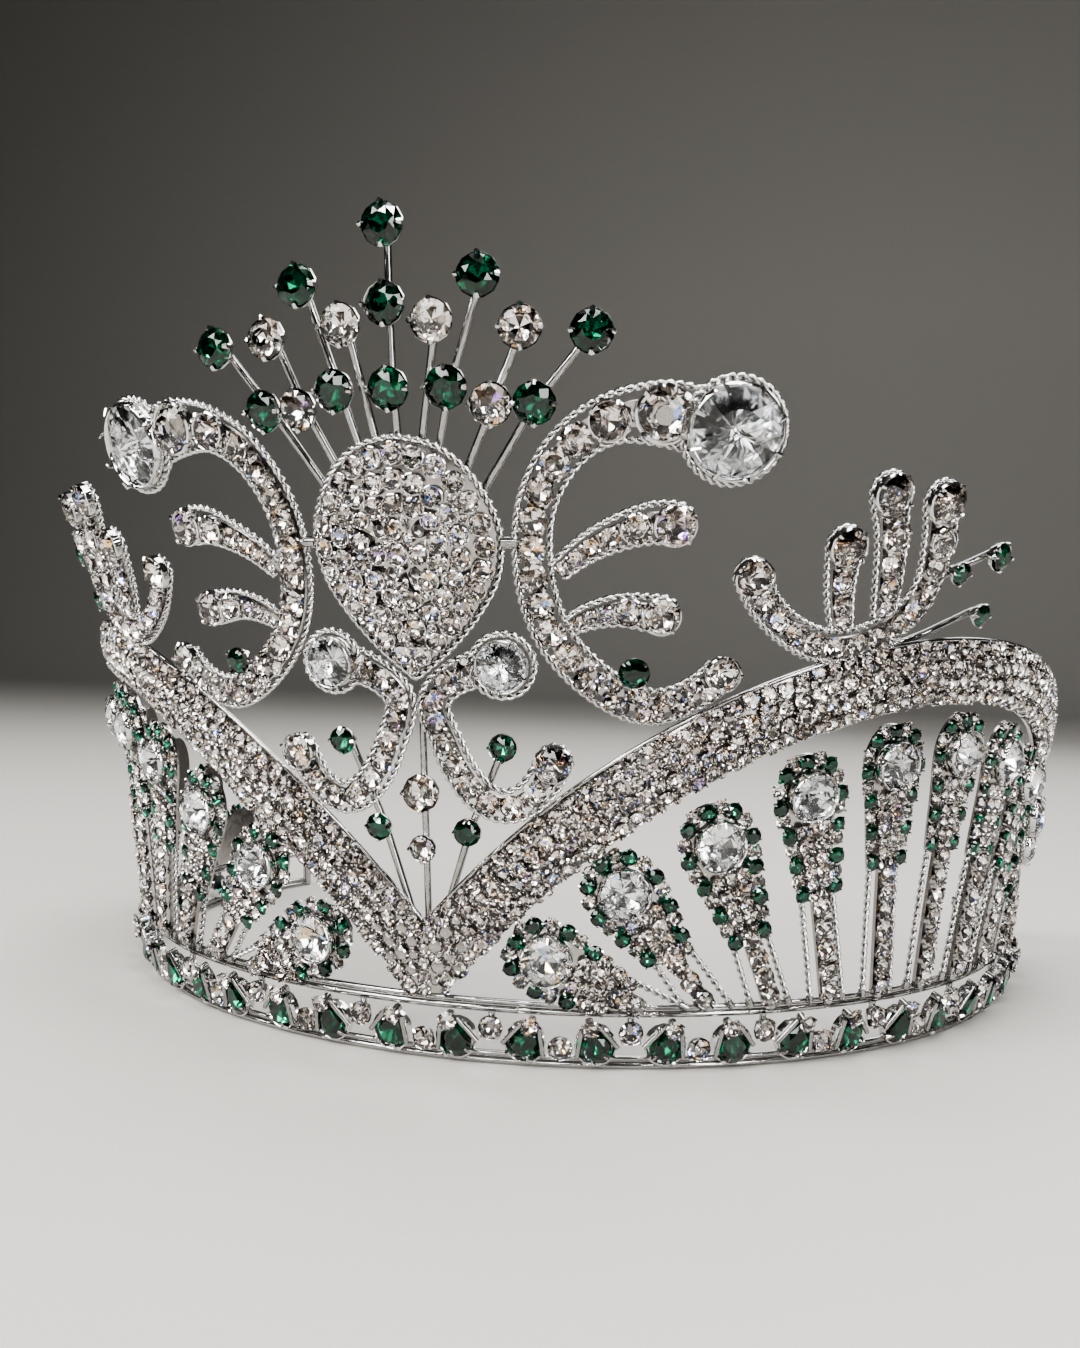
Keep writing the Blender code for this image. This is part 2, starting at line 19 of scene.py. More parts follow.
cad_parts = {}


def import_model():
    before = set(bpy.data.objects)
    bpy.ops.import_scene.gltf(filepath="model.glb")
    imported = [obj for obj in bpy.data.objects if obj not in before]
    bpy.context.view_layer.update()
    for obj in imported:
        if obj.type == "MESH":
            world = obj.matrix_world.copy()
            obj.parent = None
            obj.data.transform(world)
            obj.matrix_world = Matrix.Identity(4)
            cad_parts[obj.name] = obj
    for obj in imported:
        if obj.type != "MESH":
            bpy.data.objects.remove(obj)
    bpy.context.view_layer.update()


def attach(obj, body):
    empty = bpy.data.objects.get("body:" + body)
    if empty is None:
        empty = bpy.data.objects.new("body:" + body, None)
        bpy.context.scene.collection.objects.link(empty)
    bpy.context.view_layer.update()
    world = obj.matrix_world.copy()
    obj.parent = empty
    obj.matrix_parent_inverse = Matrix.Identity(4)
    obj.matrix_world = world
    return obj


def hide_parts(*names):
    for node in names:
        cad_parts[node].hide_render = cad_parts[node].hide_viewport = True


LOG = logging.getLogger("crown")
MM = 0.001
SIDES = {"left": 1.0, "right": -1.0}
METAL_SLOT = "rhodium_metal"
CLEAR_SLOT = "clear_crystal"
GREEN_SLOT = "green_crystal"

Pair = tuple[float, float]
Triple = tuple[float, float, float]
Laid = list[tuple[Vector, float]]


class Cut(Enum):
    """Ways that a stone is cut."""

    BRILLIANT = "brilliant"
    RIVOLI = "rivoli"
    DROP = "drop"


class Tone(Enum):
    """Colours of stone."""

    CLEAR = "clear"
    ICE = "ice"
    GREEN = "green"


class Mount(Enum):
    """Ways that a stone is held."""

    PRONGS = "prongs"
    BASKET = "basket"
    BEZEL = "bezel"
    COLLET = "collet"


# Node trees


class Graph:
    """Short ways to add and link the nodes of one tree."""

    def __init__(self, tree: bpy.types.NodeTree) -> None:
        """Keep the tree."""
        self.tree = tree

    def feed(self, node: bpy.types.Node, inputs: dict[Union[str, int], object]) -> None:
        """Give each named input of a node its value, or link it to the socket that is given."""
        for name, value in inputs.items():
            if isinstance(value, bpy.types.NodeSocket):
                self.tree.links.new(value, node.inputs[name])
            else:
                node.inputs[name].default_value = value

    def add(self, kind: str, inputs: dict[Union[str, int], object], **settings: object) -> bpy.types.Node:
        """Add a node.

        Args:
            kind: Type of the node.
            inputs: Value or linked socket of each input.
            settings: The node's own settings.

        Returns:
            The node.
        """
        node = self.tree.nodes.new(kind)
        for name, value in settings.items():
            setattr(node, name, value)
        self.feed(node, inputs)
        return node

    def noise(self, scale: float, detail: float = 2.0) -> bpy.types.NodeSocket:
        """Add noise laid out in the object's own space, and return its value."""
        place = self.add("ShaderNodeTexCoord", {}).outputs["Object"]
        noise = self.add("ShaderNodeTexNoise", {"Vector": place, "Scale": scale, "Detail": detail})
        return noise.outputs["Fac"]

    def ramp(self, factor: bpy.types.NodeSocket, stops: Sequence[tuple[float, Triple]],
             interpolation: str = "LINEAR") -> bpy.types.NodeSocket:
        """Add a colour ramp, and return its colour."""
        node = self.add("ShaderNodeValToRGB", {"Fac": factor})
        node.color_ramp.interpolation = interpolation
        elements = node.color_ramp.elements
        while len(elements) < len(stops):
            elements.new(0.5)
        for element, (position, colour) in zip(elements, stops):
            element.position = position
            element.color = (*colour, 1.0)
        return node.outputs["Color"]

    def read(self, name: str, kind: str) -> bpy.types.NodeSocket:
        """Add a node that reads a named attribute, and return its output."""
        node = self.add("GeometryNodeInputNamedAttribute", {"Name": name}, data_type=kind)
        return node.outputs["Attribute"]


def new_tree(name: str, inputs: dict[str, str]) -> tuple[Graph, bpy.types.bpy_prop_collection]:
    """Make a Geometry Nodes tree with named inputs.

    Args:
        name: Tree name.
        inputs: Kind of each input after the geometry.

    Returns:
        The tree's graph, and the sockets that give its inputs.
    """
    tree = bpy.data.node_groups.new(name, "GeometryNodeTree")
    for label, kind in {"Geometry": "Geometry", **inputs}.items():
        tree.interface.new_socket(label, in_out="INPUT", socket_type=f"NodeSocket{kind}")
    tree.interface.new_socket("Geometry", in_out="OUTPUT", socket_type="NodeSocketGeometry")
    graph = Graph(tree)
    return graph, graph.add("NodeGroupInput", {}).outputs


def setting_tree() -> bpy.types.NodeTree:
    """Build the tree that puts one shape on every point, turned and sized by the point's attributes."""
    graph, given = new_tree("set_on_points", {"Shape": "Object", "Unevenness": "Float", "Seed": "Int",
                                              "Front": "Material", "Back": "Material"})
    shape = graph.add("GeometryNodeObjectInfo", {"Object": given["Shape"]}).outputs["Geometry"]
    axes = graph.add("FunctionNodeAxesToRotation", {
        "Primary Axis": graph.read("facing", "FLOAT_VECTOR"),
        "Secondary Axis": graph.read("along", "FLOAT_VECTOR")}, primary_axis="Z", secondary_axis="X")
    high = graph.add("ShaderNodeCombineXYZ", {
        "X": given["Unevenness"], "Y": given["Unevenness"]}).outputs["Vector"]
    low = graph.add("ShaderNodeVectorMath", {0: high, "Scale": -1.0}, operation="SCALE").outputs["Vector"]
    wobble = graph.add("FunctionNodeRandomValue", {"Min": low, "Max": high, "Seed": given["Seed"]},
                       data_type="FLOAT_VECTOR").outputs["Value"]
    euler = graph.add("FunctionNodeEulerToRotation", {"Euler": wobble}).outputs["Rotation"]
    turned = graph.add("FunctionNodeRotateRotation", {"Rotation": axes.outputs["Rotation"], "Rotate By": euler},
                       rotation_space="LOCAL").outputs["Rotation"]
    placed = graph.add("GeometryNodeInstanceOnPoints", {
        "Points": given["Geometry"], "Instance": shape, "Rotation": turned,
        "Scale": graph.read("size", "FLOAT")}).outputs["Instances"]
    # A random number for each face: the foil colour it picks paints reflections and glints onto the facets.
    dice = graph.add("FunctionNodeRandomValue", {"Seed": given["Seed"]}, data_type="FLOAT")
    chance = next(socket for socket in dice.outputs if socket.enabled)
    result = graph.add("GeometryNodeRealizeInstances", {"Geometry": placed}).outputs["Geometry"]
    result = graph.add("GeometryNodeStoreNamedAttribute", {"Geometry": result, "Name": "chance", "Value": chance},
                       data_type="FLOAT", domain="FACE").outputs["Geometry"]
    result = graph.add("GeometryNodeSetMaterial", {
        "Geometry": result, "Material": given["Front"]}).outputs["Geometry"]
    result = graph.add("GeometryNodeSetMaterial", {
        "Geometry": result, "Material": given["Back"],
        "Selection": graph.read("foil", "BOOLEAN")}).outputs["Geometry"]
    graph.add("NodeGroupOutput", {"Geometry": result})
    return graph.tree


def wire_tree() -> bpy.types.NodeTree:
    """Build the tree that turns lines into wire: two strands wound round each other, or one plain rod."""
    graph, given = new_tree("draw_wire", {"Strand radius": "Float", "Strand offset": "Float", "Twist": "Float",
                                          "Spacing": "Float", "Sides": "Int", "Finish": "Material"})
    line = graph.add("GeometryNodeResampleCurve", {"Curve": given["Geometry"], "Length": given["Spacing"]},
                     mode="LENGTH").outputs["Curve"]
    along = graph.add("GeometryNodeSplineParameter", {}).outputs["Length"]
    turn = graph.add("ShaderNodeMath", {0: along, 1: given["Twist"]}, operation="MULTIPLY").outputs["Value"]
    line = graph.add("GeometryNodeSetCurveTilt", {"Curve": line, "Tilt": turn}).outputs["Curve"]
    circle = graph.add("GeometryNodeCurvePrimitiveCircle", {
        "Resolution": given["Sides"], "Radius": given["Strand radius"]}).outputs["Curve"]
    strands = graph.add("GeometryNodeJoinGeometry", {})
    for sign in (1.0, -1.0):
        shift = graph.add("ShaderNodeMath", {0: given["Strand offset"], 1: sign}, operation="MULTIPLY")
        offset = graph.add("ShaderNodeCombineXYZ", {"X": shift.outputs["Value"]}).outputs["Vector"]
        strand = graph.add("GeometryNodeTransform", {"Geometry": circle, "Translation": offset})
        graph.feed(strands, {"Geometry": strand.outputs["Geometry"]})
    result = graph.add("GeometryNodeCurveToMesh", {
        "Curve": line, "Profile Curve": strands.outputs["Geometry"], "Fill Caps": True}).outputs["Mesh"]
    result = graph.add("GeometryNodeSetShadeSmooth", {"Geometry": result}).outputs["Geometry"]
    result = graph.add("GeometryNodeRealizeInstances", {"Geometry": result}).outputs["Geometry"]
    result = graph.add("GeometryNodeSetMaterial", {
        "Geometry": result, "Material": given["Finish"]}).outputs["Geometry"]
    graph.add("NodeGroupOutput", {"Geometry": result})
    return graph.tree


def run_tree(name: str, source: bpy.types.Object, tree: bpy.types.NodeTree,
             values: dict[str, object]) -> bpy.types.Object:
    """Run a tree on an object and return the result as a plain mesh object.

    Args:
        name: Name of the result.
        source: The object that the tree starts from, which is removed.
        tree: The tree.
        values: Input values by their names.

    Returns:
        The mesh object.
    """
    modifier = source.modifiers.new("tree", "NODES")
    modifier.node_group = tree
    for item in tree.interface.items_tree:
        if item.in_out == "INPUT" and item.name in values:
            modifier[item.identifier] = values[item.name]
    source.update_tag()
    result = linked(name, solid_mesh(source))
    source.modifiers.clear()
    bpy.data.objects.remove(source, do_unlink=True)
    return result


# Finishes


def new_material(name: str) -> tuple[bpy.types.Material, Graph, bpy.types.Node]:
    """Make a Principled material, and return it with its graph and its shader."""
    material = bpy.data.materials.new(name)
    material.use_nodes = True
    return material, Graph(material.node_tree), material.node_tree.nodes["Principled BSDF"]


@dataclass(frozen=True)
class MetalFinish:
    """Bright plated metal with faint unevenness from casting and solder.

    Attributes:
        name: Material name.
        colour: Base colour.
        polish: Lowest and highest roughness.
        grain: Size of the unevenness in waves a metre.
        relief: Strength of the bump.
        shade: Share of the colour where the metal is dullest.
    """

    name: str = "rhodium_plate"
    colour: Triple = (0.70, 0.69, 0.68)
    polish: Pair = (0.03, 0.14)
    grain: float = 900.0
    relief: float = 0.12
    shade: float = 0.86

    def make(self) -> bpy.types.Material:
        """Build the material."""
        material, graph, shader = new_material(self.name)
        noise = graph.noise(self.grain, 3.0)
        roughness = graph.add("ShaderNodeMapRange", {
            "Value": noise, "From Min": 0.3, "From Max": 0.7, "To Min": self.polish[0],
            "To Max": self.polish[1]}).outputs["Result"]
        dull = tuple(c * self.shade for c in self.colour)
        bump = graph.add("ShaderNodeBump", {"Height": noise, "Strength": self.relief, "Distance": 0.0001})
        graph.feed(shader, {"Metallic": 1.0, "Roughness": roughness, "Normal": bump.outputs["Normal"],
                            "Base Color": graph.ramp(noise, ((0.3, dull), (0.65, self.colour)))})
        return material


@dataclass(frozen=True)
class CrystalFinish:
    """The glass of a stone's crown.

    Attributes:
        name: Material name.
        colour: Tint of the glass.
        index: Index of refraction.
        clouds: Size of the faint clouds in waves a metre.
        shade: Share of the tint where a cloud is deepest.
    """

    name: str
    colour: Triple
    index: float = 1.55
    clouds: float = 260.0
    shade: float = 0.9

    def make(self) -> bpy.types.Material:
        """Build the material."""
        material, graph, shader = new_material(self.name)
        deep = tuple(c * self.shade for c in self.colour)
        tint = graph.ramp(graph.noise(self.clouds), ((0.35, deep), (0.65, self.colour)))
        graph.feed(shader, {"Transmission Weight": 1.0, "IOR": self.index, "Roughness": 0.0,
                            "Base Color": tint})
        return material


@dataclass(frozen=True)
class FoilAndGlintFinish:
    """The foiled back of a stone, seen through its glass, with painted reflections and glints on its facets.

    Attributes:
        name: Material name.
        foil_and_glint_colours: Colours of the facets with the share of the range where each one starts; the dark
            ones are painted dark reflections and the coloured ones painted glints.
        roughness: Roughness of the foil.
    """

    name: str
    foil_and_glint_colours: tuple[tuple[float, Triple], ...]
    roughness: float = 0.06

    def make(self) -> bpy.types.Material:
        """Build the material."""
        material, graph, shader = new_material(self.name)
        # Each facet's random number picks its foil colour: painted dark reflections and painted glints.
        chance = graph.add("ShaderNodeAttribute", {}, attribute_name="chance").outputs["Fac"]
        graph.feed(shader, {"Metallic": 1.0, "Roughness": self.roughness,
                            "Base Color": graph.ramp(chance, self.foil_and_glint_colours, "CONSTANT")})
        return material


@dataclass(frozen=True)
class StudioFinish:
    """The plain pale paint of the floor and backdrop.

    Attributes:
        name: Material name.
        colour: Paint colour.
        roughness: Roughness of the paint.
    """

    name: str = "pale_studio"
    colour: Triple = (0.50, 0.485, 0.455)
    roughness: float = 0.6

    def make(self) -> bpy.types.Material:
        """Build the material."""
        material, graph, shader = new_material(self.name)
        graph.feed(shader, {"Base Color": (*self.colour, 1.0), "Roughness": self.roughness})
        return material


@dataclass
class Finishes:
    """All the materials of the crown, built once."""

    metal: bpy.types.Material = field(default_factory=lambda: MetalFinish().make())
    # Darker, duller copy of the plate metal for the plates under the stones: painted shade in the recesses between
    # stones.
    painted_shade: bpy.types.Material = field(
        default_factory=lambda: MetalFinish("recessed_plate", (0.44, 0.42, 0.40), (0.14, 0.26)).make())
    crowns: dict[Tone, bpy.types.Material] = field(default_factory=lambda: {
        Tone.CLEAR: CrystalFinish("clear_crystal_glass", (1.0, 0.99, 0.97)).make(),
        Tone.ICE: CrystalFinish("large_crystal_glass", (0.99, 1.0, 1.0)).make(),
        Tone.GREEN: CrystalFinish("green_crystal_glass", (0.01, 0.27, 0.18)).make(),
    })
    # Foil colours by share of the facets: the dark ones are painted dark reflections, and the blue, orange and
    # violet ones painted fire glints.
    foils: dict[Tone, bpy.types.Material] = field(default_factory=lambda: {
        Tone.CLEAR: FoilAndGlintFinish("clear_foil", (
            (0.0, (0.97, 0.95, 0.93)),
            (0.25, (0.45, 0.40, 0.37)),
            (0.43, (0.99, 0.98, 0.97)),
            (0.65, (0.10, 0.085, 0.075)),
            (0.86, (0.82, 0.76, 0.70)),
            (0.96, (0.30, 0.46, 0.98)),
            (0.975, (0.98, 0.66, 0.36)),
            (0.99, (0.58, 0.38, 0.98)),
        )).make(),
        Tone.ICE: FoilAndGlintFinish("large_foil", (
            (0.0, (0.99, 0.99, 0.99)),
            (0.36, (0.55, 0.56, 0.57)),
            (0.50, (0.96, 0.97, 0.99)),
            (0.74, (0.20, 0.20, 0.20)),
            (0.87, (0.84, 0.86, 0.88)),
            (0.95, (0.50, 0.66, 0.98)),
            (0.975, (0.98, 0.80, 0.55)),
        ), 0.10).make(),
        # Green foil: the darkest facets are painted dark reflections and the bright teal ones painted glints.
        Tone.GREEN: FoilAndGlintFinish("green_foil", (
            (0.0, (0.022, 0.30, 0.21)),
            (0.35, (0.006, 0.09, 0.064)),
            (0.86, (0.15, 0.82, 0.63)),
        )).make(),
    })


# Places on the wall


@dataclass(frozen=True)
class Place:
    """A wall point with unit vectors sideways, upwards and outwards."""

    point: Vector
    east: Vector
    up: Vector
    normal: Vector

    def off(self, out: float) -> Vector:
        """Return the point moved outwards by millimetres."""
        return self.point + self.normal * out * MM

    def round(self, angle: float, reach: float) -> Vector:
        """Return the step to a point beside this one at an angle and a reach in millimetres."""
        return (self.east * math.cos(angle) + self.up * math.sin(angle)) * reach * MM

    def circle(self, reach: float, out: float, count: int) -> list[Vector]:
        """Return a closed ring of points round this one, sizes in millimetres."""
        return [self.off(out) + self.round(math.tau * i / count, reach) for i in range(count + 1)]


@dataclass(frozen=True)
class Wall:
    """The flared surface that carries every piece.

    Attributes:
        rows: Height and radius in millimetres.
        axis_y: Distance from the crown's box centre back to the hoop's axis in millimetres.
    """

    rows: tuple[Pair, ...] = ((0.0, 80.0), (30.0, 84.0), (60.0, 90.0), (90.0, 100.5), (125.0, 105.5))
    axis_y: float = 36.686

    def slope(self, index: int) -> float:
        """Return the radius's rise per millimetre of height at a row."""
        low, high = self.rows[max(index - 1, 0)], self.rows[min(index + 1, len(self.rows) - 1)]
        return (high[1] - low[1]) / (high[0] - low[0])

    def radius(self, height: float) -> float:
        """Return the wall's radius at a height, both in millimetres."""
        height = max(self.rows[0][0], min(self.rows[-1][0], height))
        index = max(i for i in range(len(self.rows) - 1) if self.rows[i][0] <= height)
        (low, start), (high, end) = self.rows[index:index + 2]
        span = high - low
        t = (height - low) / span
        return ((2 * t ** 3 - 3 * t ** 2 + 1) * start + (t ** 3 - 2 * t ** 2 + t) * span * self.slope(index)
                + (3 * t ** 2 - 2 * t ** 3) * end + (t ** 3 - t ** 2) * span * self.slope(index + 1))

    def frame(self, turn: float, height: float) -> Place:
        """Return the place at a turn in degrees from the front and a height in millimetres."""
        angle = math.radians(turn)
        flare = (self.radius(height + 2.0) - self.radius(height - 2.0)) / 4.0
        radial = Vector((math.sin(angle), -math.cos(angle), 0.0))
        east = Vector((math.cos(angle), math.sin(angle), 0.0))
        up = (radial * flare + Vector((0.0, 0.0, 1.0))).normalized()
        point = radial * self.radius(height) + Vector((0.0, self.axis_y, height))
        return Place(point * MM, east, up, east.cross(up))


@dataclass
class Station:
    """A place on a track: point, direction, sideways, outward and half width in metres."""

    point: Vector
    ahead: Vector
    side: Vector
    normal: Vector
    half: float

    def shifted(self, sideways: float, out: float) -> Vector:
        """Return the point moved sideways and outwards, in metres."""
        return self.point + self.side * sideways + self.normal * out


def smooth_rows(rows: Sequence[Sequence[float]], steps: int) -> list[list[float]]:
    """Resample rows on a Catmull-Rom curve.

    Args:
        rows: Rows of numbers.
        steps: Spans between each pair of rows.

    Returns:
        The resampled rows.
    """
    first = [2 * a - b for a, b in zip(rows[0], rows[1])]
    last = [2 * a - b for a, b in zip(rows[-1], rows[-2])]
    padded = [first, *rows, last]
    result = []
    for i in range(1, len(padded) - 2):
        for t in (k / steps for k in range(steps)):
            result.append([0.5 * (2 * q + (r - p) * t + (2 * p - 5 * q + 4 * r - s) * t ** 2
                                  + (3 * q - p - 3 * r + s) * t ** 3)
                           for p, q, r, s in zip(*padded[i - 1:i + 3])])
    return [*result, list(rows[-1])]


class Track:
    """A smooth path along the wall with a half width at every place."""

    def __init__(self, wall: Wall, rows: Sequence[Sequence[float]], side: float = 1.0, steps: int = 6) -> None:
        """Lay the track.

        Args:
            wall: The crown's wall.
            rows: Turn, height and half width, in degrees and millimetres.
            side: 1 on the wearer's left, -1 on the right.
            steps: Spans between each pair of rows.
        """
        mirrored = [(turn * side, height, half) for turn, height, half in rows]
        smooth = smooth_rows(mirrored, steps)
        places = [wall.frame(turn, height) for turn, height, _half in smooth]
        self.stations: list[Station] = []
        self.lengths: list[float] = []
        self.length = 0.0
        for i, (place, row) in enumerate(zip(places, smooth)):
            ahead = places[min(i + 1, len(places) - 1)].point - places[max(i - 1, 0)].point
            ahead = (ahead - place.normal * ahead.dot(place.normal)).normalized()
            if i:
                self.length += (place.point - places[i - 1].point).length
            self.stations.append(Station(place.point, ahead, ahead.cross(place.normal), place.normal,
                                         row[2] * MM))
            self.lengths.append(self.length)

    def at(self, distance: float) -> Station:
        """Return the station at a distance along the track, in metres, also past its ends."""
        inside = max(0.0, min(self.length, distance))
        index = 0
        while index < len(self.lengths) - 2 and self.lengths[index + 1] < inside:
            index += 1
        low, high = self.stations[index:index + 2]
        t = (inside - self.lengths[index]) / (self.lengths[index + 1] - self.lengths[index])
        ahead, side, normal = (getattr(low, name).lerp(getattr(high, name), t).normalized()
                               for name in ("ahead", "side", "normal"))
        point = low.point.lerp(high.point, t) + ahead * (distance - inside)
        return Station(point, ahead, side, normal, low.half + (high.half - low.half) * t)

    def nearest(self, point: Vector) -> float:
        """Return the distance along the track that lies nearest to a point."""
        index = min(range(len(self.stations)), key=lambda i: (self.stations[i].point - point).length)
        return self.lengths[index]

    def edge(self, sign: float, inset: float, out: float, spacing: float = 0.0012) -> list[Vector]:
        """Return points along one edge of the track.

        Args:
            sign: 1 or -1, which edge.
            inset: Distance of the line inside the edge, in metres.
            out: Distance outwards from the wall.
            spacing: Distance between points.

        Returns:
            The points in order.
        """
        count = max(2, round(self.length / spacing))
        stations = [self.at(self.length * i / count) for i in range(count + 1)]
        return [s.shifted(sign * (s.half - inset), out) for s in stations]

    def tip(self, inset: float, out: float, at_end: bool = True) -> list[Vector]:
        """Return a half circle round one end, from the positive edge to the negative one."""
        station = self.at(self.length if at_end else 0.0)
        reach = station.half - inset
        forward = station.ahead * (reach if at_end else -reach)
        return [station.shifted(reach * math.cos(angle), out) + forward * math.sin(angle)
                for angle in (math.pi * i / 8 for i in range(1, 8))]


# Meshes


def linked(name: str, data: bpy.types.ID) -> bpy.types.Object:
    """Put data into the scene as an object and return it."""
    obj = bpy.data.objects.new(name, data)
    bpy.context.scene.collection.objects.link(obj)
    return obj


def solid_mesh(obj: bpy.types.Object) -> bpy.types.Mesh:
    """Return an object's mesh with its modifiers worked in."""
    graph = bpy.context.evaluated_depsgraph_get()
    return bpy.data.meshes.new_from_object(obj.evaluated_get(graph), depsgraph=graph)


def skin_rings(rings: Sequence[Sequence[Vector]]) -> bmesh.types.BMesh:
    """Join equal rings of points into a closed mesh with capped ends."""
    bm = bmesh.new()
    loops = [[bm.verts.new(point) for point in ring] for ring in rings]
    for low, high in zip(loops, loops[1:]):
        for i in range(len(low)):
            j = (i + 1) % len(low)
            bm.faces.new((low[i], low[j], high[j], high[i]))
    bm.faces.new(loops[0][::-1])
    bm.faces.new(loops[-1])
    bmesh.ops.recalc_face_normals(bm, faces=bm.faces)
    return bm


def to_object(name: str, bm: bmesh.types.BMesh, material: Optional[bpy.types.Material] = None,
              smooth_angle: Optional[float] = 35.0) -> bpy.types.Object:
    """Turn a bmesh into a linked object.

    Args:
        name: Object name.
        bm: The mesh, which is freed.
        material: Its material.
        smooth_angle: Edges sharper than this stay sharp, or None for flat facets.

    Returns:
        The object.
    """
    mesh = bpy.data.meshes.new(name)
    bm.to_mesh(mesh)
    bm.free()
    if material is not None:
        mesh.materials.append(material)
    if smooth_angle is not None:
        mesh.shade_smooth()
        mesh.set_sharp_from_angle(angle=math.radians(smooth_angle))
    return linked(name, mesh)


def join_objects(name: str, objects: Sequence[bpy.types.Object]) -> Optional[bpy.types.Object]:
    """Join mesh objects that stand at the origin into one, or return None where there are none."""
    if not objects:
        return None
    target = objects[0]
    if len(objects) > 1:
        with bpy.context.temp_override(active_object=target, object=target, selected_objects=list(objects),
                                       selected_editable_objects=list(objects)):
            bpy.ops.object.join()
    target.name = name
    target.data.name = name
    return target


def sweep(track: Track, section: Sequence[Pair], inset: float = 0.0, stride: int = 2) -> bmesh.types.BMesh:
    """Sweep a section along a track.

    Args:
        track: The path.
        section: Share of the half width, and millimetres outwards.
        inset: Taken off the half width, in metres.
        stride: Stations from one ring to the next.

    Returns:
        The closed mesh.
    """
    stations = track.stations[::stride]
    if stations[-1] is not track.stations[-1]:
        stations.append(track.stations[-1])
    return skin_rings([[station.shifted(share * (station.half - inset), out * MM) for share, out in section]
                       for station in stations])


@dataclass(frozen=True)
class StoneShape:
    """A cut stone of radius 1 with its girdle at height 0.

    Attributes:
        cut: The way it is cut.
        table: Radius of the table.
        crown: Height of the crown.
        pavilion: Depth of the back.
    """

    cut: Cut
    table: float
    crown: float
    pavilion: float

    def outline(self, angle: float) -> Pair:
        """Return the outline's point at an angle, for the round or the drop cut."""
        x, y = math.cos(angle), math.sin(angle)
        if self.cut is Cut.DROP:
            point = max(0.0, y)
            return 0.80 * x * (1.0 - 0.42 * point ** 2), (y + 0.24 * point ** 3) * 0.98
        return x, y

    def make(self) -> bpy.types.Object:
        """Build the master mesh, with the back's facets marked by the foil attribute."""
        bm = bmesh.new()
        foil = bm.faces.layers.int.new("foil")
        half_step = math.tau / 16

        def ring(radius: float, height: float, count: int, offset: float = 0.0) -> list[bmesh.types.BMVert]:
            outline = [self.outline(math.tau * i / count + offset) for i in range(count)]
            return [bm.verts.new((x * radius, y * radius, height)) for x, y in outline]

        girdle = ring(1.0, 0.0, 16)
        culet = bm.verts.new((0.0, 0.0, -self.pavilion))
        back = []
        if self.cut is Cut.RIVOLI:
            apex = bm.verts.new((0.0, 0.0, self.crown))
            middle = ring(0.55, self.crown * 0.58, 16)
            for vert in middle[::2]:
                vert.co.z += self.crown * 0.12
            for i in range(16):
                j = (i + 1) % 16
                bm.faces.new((middle[i], middle[j], apex))
                bm.faces.new((girdle[i], girdle[j], middle[j]))
                bm.faces.new((girdle[i], middle[j], middle[i]))
                back.append((girdle[j], girdle[i], culet))
        else:
            table = ring(self.table, self.crown, 8)
            middle = ring(0.5 * (self.table + 1.0) + 0.03, self.crown * 0.58, 8, half_step)
            lower = ring(0.52, -self.pavilion * 0.55, 8, half_step)
            bm.faces.new(table)
            for i in range(8):
                j = (i + 1) % 8
                first, second, third = girdle[2 * i], girdle[2 * i + 1], girdle[(2 * i + 2) % 16]
                bm.faces.new((table[i], middle[i], table[j]))
                bm.faces.new((first, second, middle[i]))
                bm.faces.new((second, third, middle[i]))
                bm.faces.new((middle[i], third, middle[j], table[j]))
                back += [(second, first, lower[i]), (third, second, lower[i]), (third, lower[i], lower[j]),
                         (lower[i], culet, lower[j])]
        for corners in back:
            bm.faces.new(corners)[foil] = 1
        bmesh.ops.recalc_face_normals(bm, faces=bm.faces)
        return to_object(f"master_{self.cut.value}", bm, None, smooth_angle=None)


@dataclass(frozen=True)
class MountShape:
    """Metal that holds a stone of radius 1 with its girdle at height 0.

    Attributes:
        mount: The kind of mount.
        claws: Number of claws.
        foot: Radius and height of a claw's foot.
        width: Half the width of a claw.
        profile: Closed outline of the turned ring as radius and height, or nothing.
        sides: Number of sides round the ring.
    """

    mount: Mount
    claws: int
    foot: Pair
    width: float
    profile: tuple[Pair, ...] = ()
    sides: int = 0

    def claw(self, bm: bmesh.types.BMesh, angle: float) -> None:
        """Add one bent claw that rises beside the stone and turns over its edge."""
        across = Vector((-math.sin(angle), math.cos(angle), 0.0))
        radial = Vector((math.cos(angle), math.sin(angle), 0.0))
        lift = radial * 0.6 + Vector((0.0, 0.0, 0.8))
        loops = []
        for (radius, height), share in ((self.foot, 1.0), ((1.05, -0.12), 1.0), ((1.06, 0.16), 0.95),
                                        ((0.88, 0.30), 0.6)):
            centre = radial * radius + Vector((0.0, 0.0, height))
            width = self.width * share
            loops.append([bm.verts.new(centre + across * width * c + lift * width * 0.8 * s)
                          for c, s in ((1, 0), (0, 1), (-1, 0), (0, -1))])
        for low, high in zip(loops, loops[1:]):
            for i in range(4):
                j = (i + 1) % 4
                bm.faces.new((low[i], low[j], high[j], high[i]))
        bm.faces.new(loops[0][::-1])
        bm.faces.new(loops[-1])

    def make(self) -> bpy.types.Object:
        """Build the master mesh."""
        bm = bmesh.new()
        turns = [math.tau * i / self.sides for i in range(self.sides)]
        loops = [[bm.verts.new((r * math.cos(a), r * math.sin(a), z)) for r, z in self.profile] for a in turns]
        for i in range(self.sides):
            low, high = loops[i], loops[(i + 1) % self.sides]
            for k in range(len(self.profile)):
                j = (k + 1) % len(self.profile)
                bm.faces.new((low[k], high[k], high[j], low[j]))
        for i in range(self.claws):
            self.claw(bm, math.tau * (i + 0.5) / self.claws)
        bmesh.ops.recalc_face_normals(bm, faces=bm.faces)
        return to_object(f"master_{self.mount.value}", bm, None, smooth_angle=50.0)


# Bench


@dataclass
class StoneMark:
    """One stone to set: point, outward and sideways directions, and radius in metres."""

    point: Vector
    facing: Vector
    along: Vector
    size: float


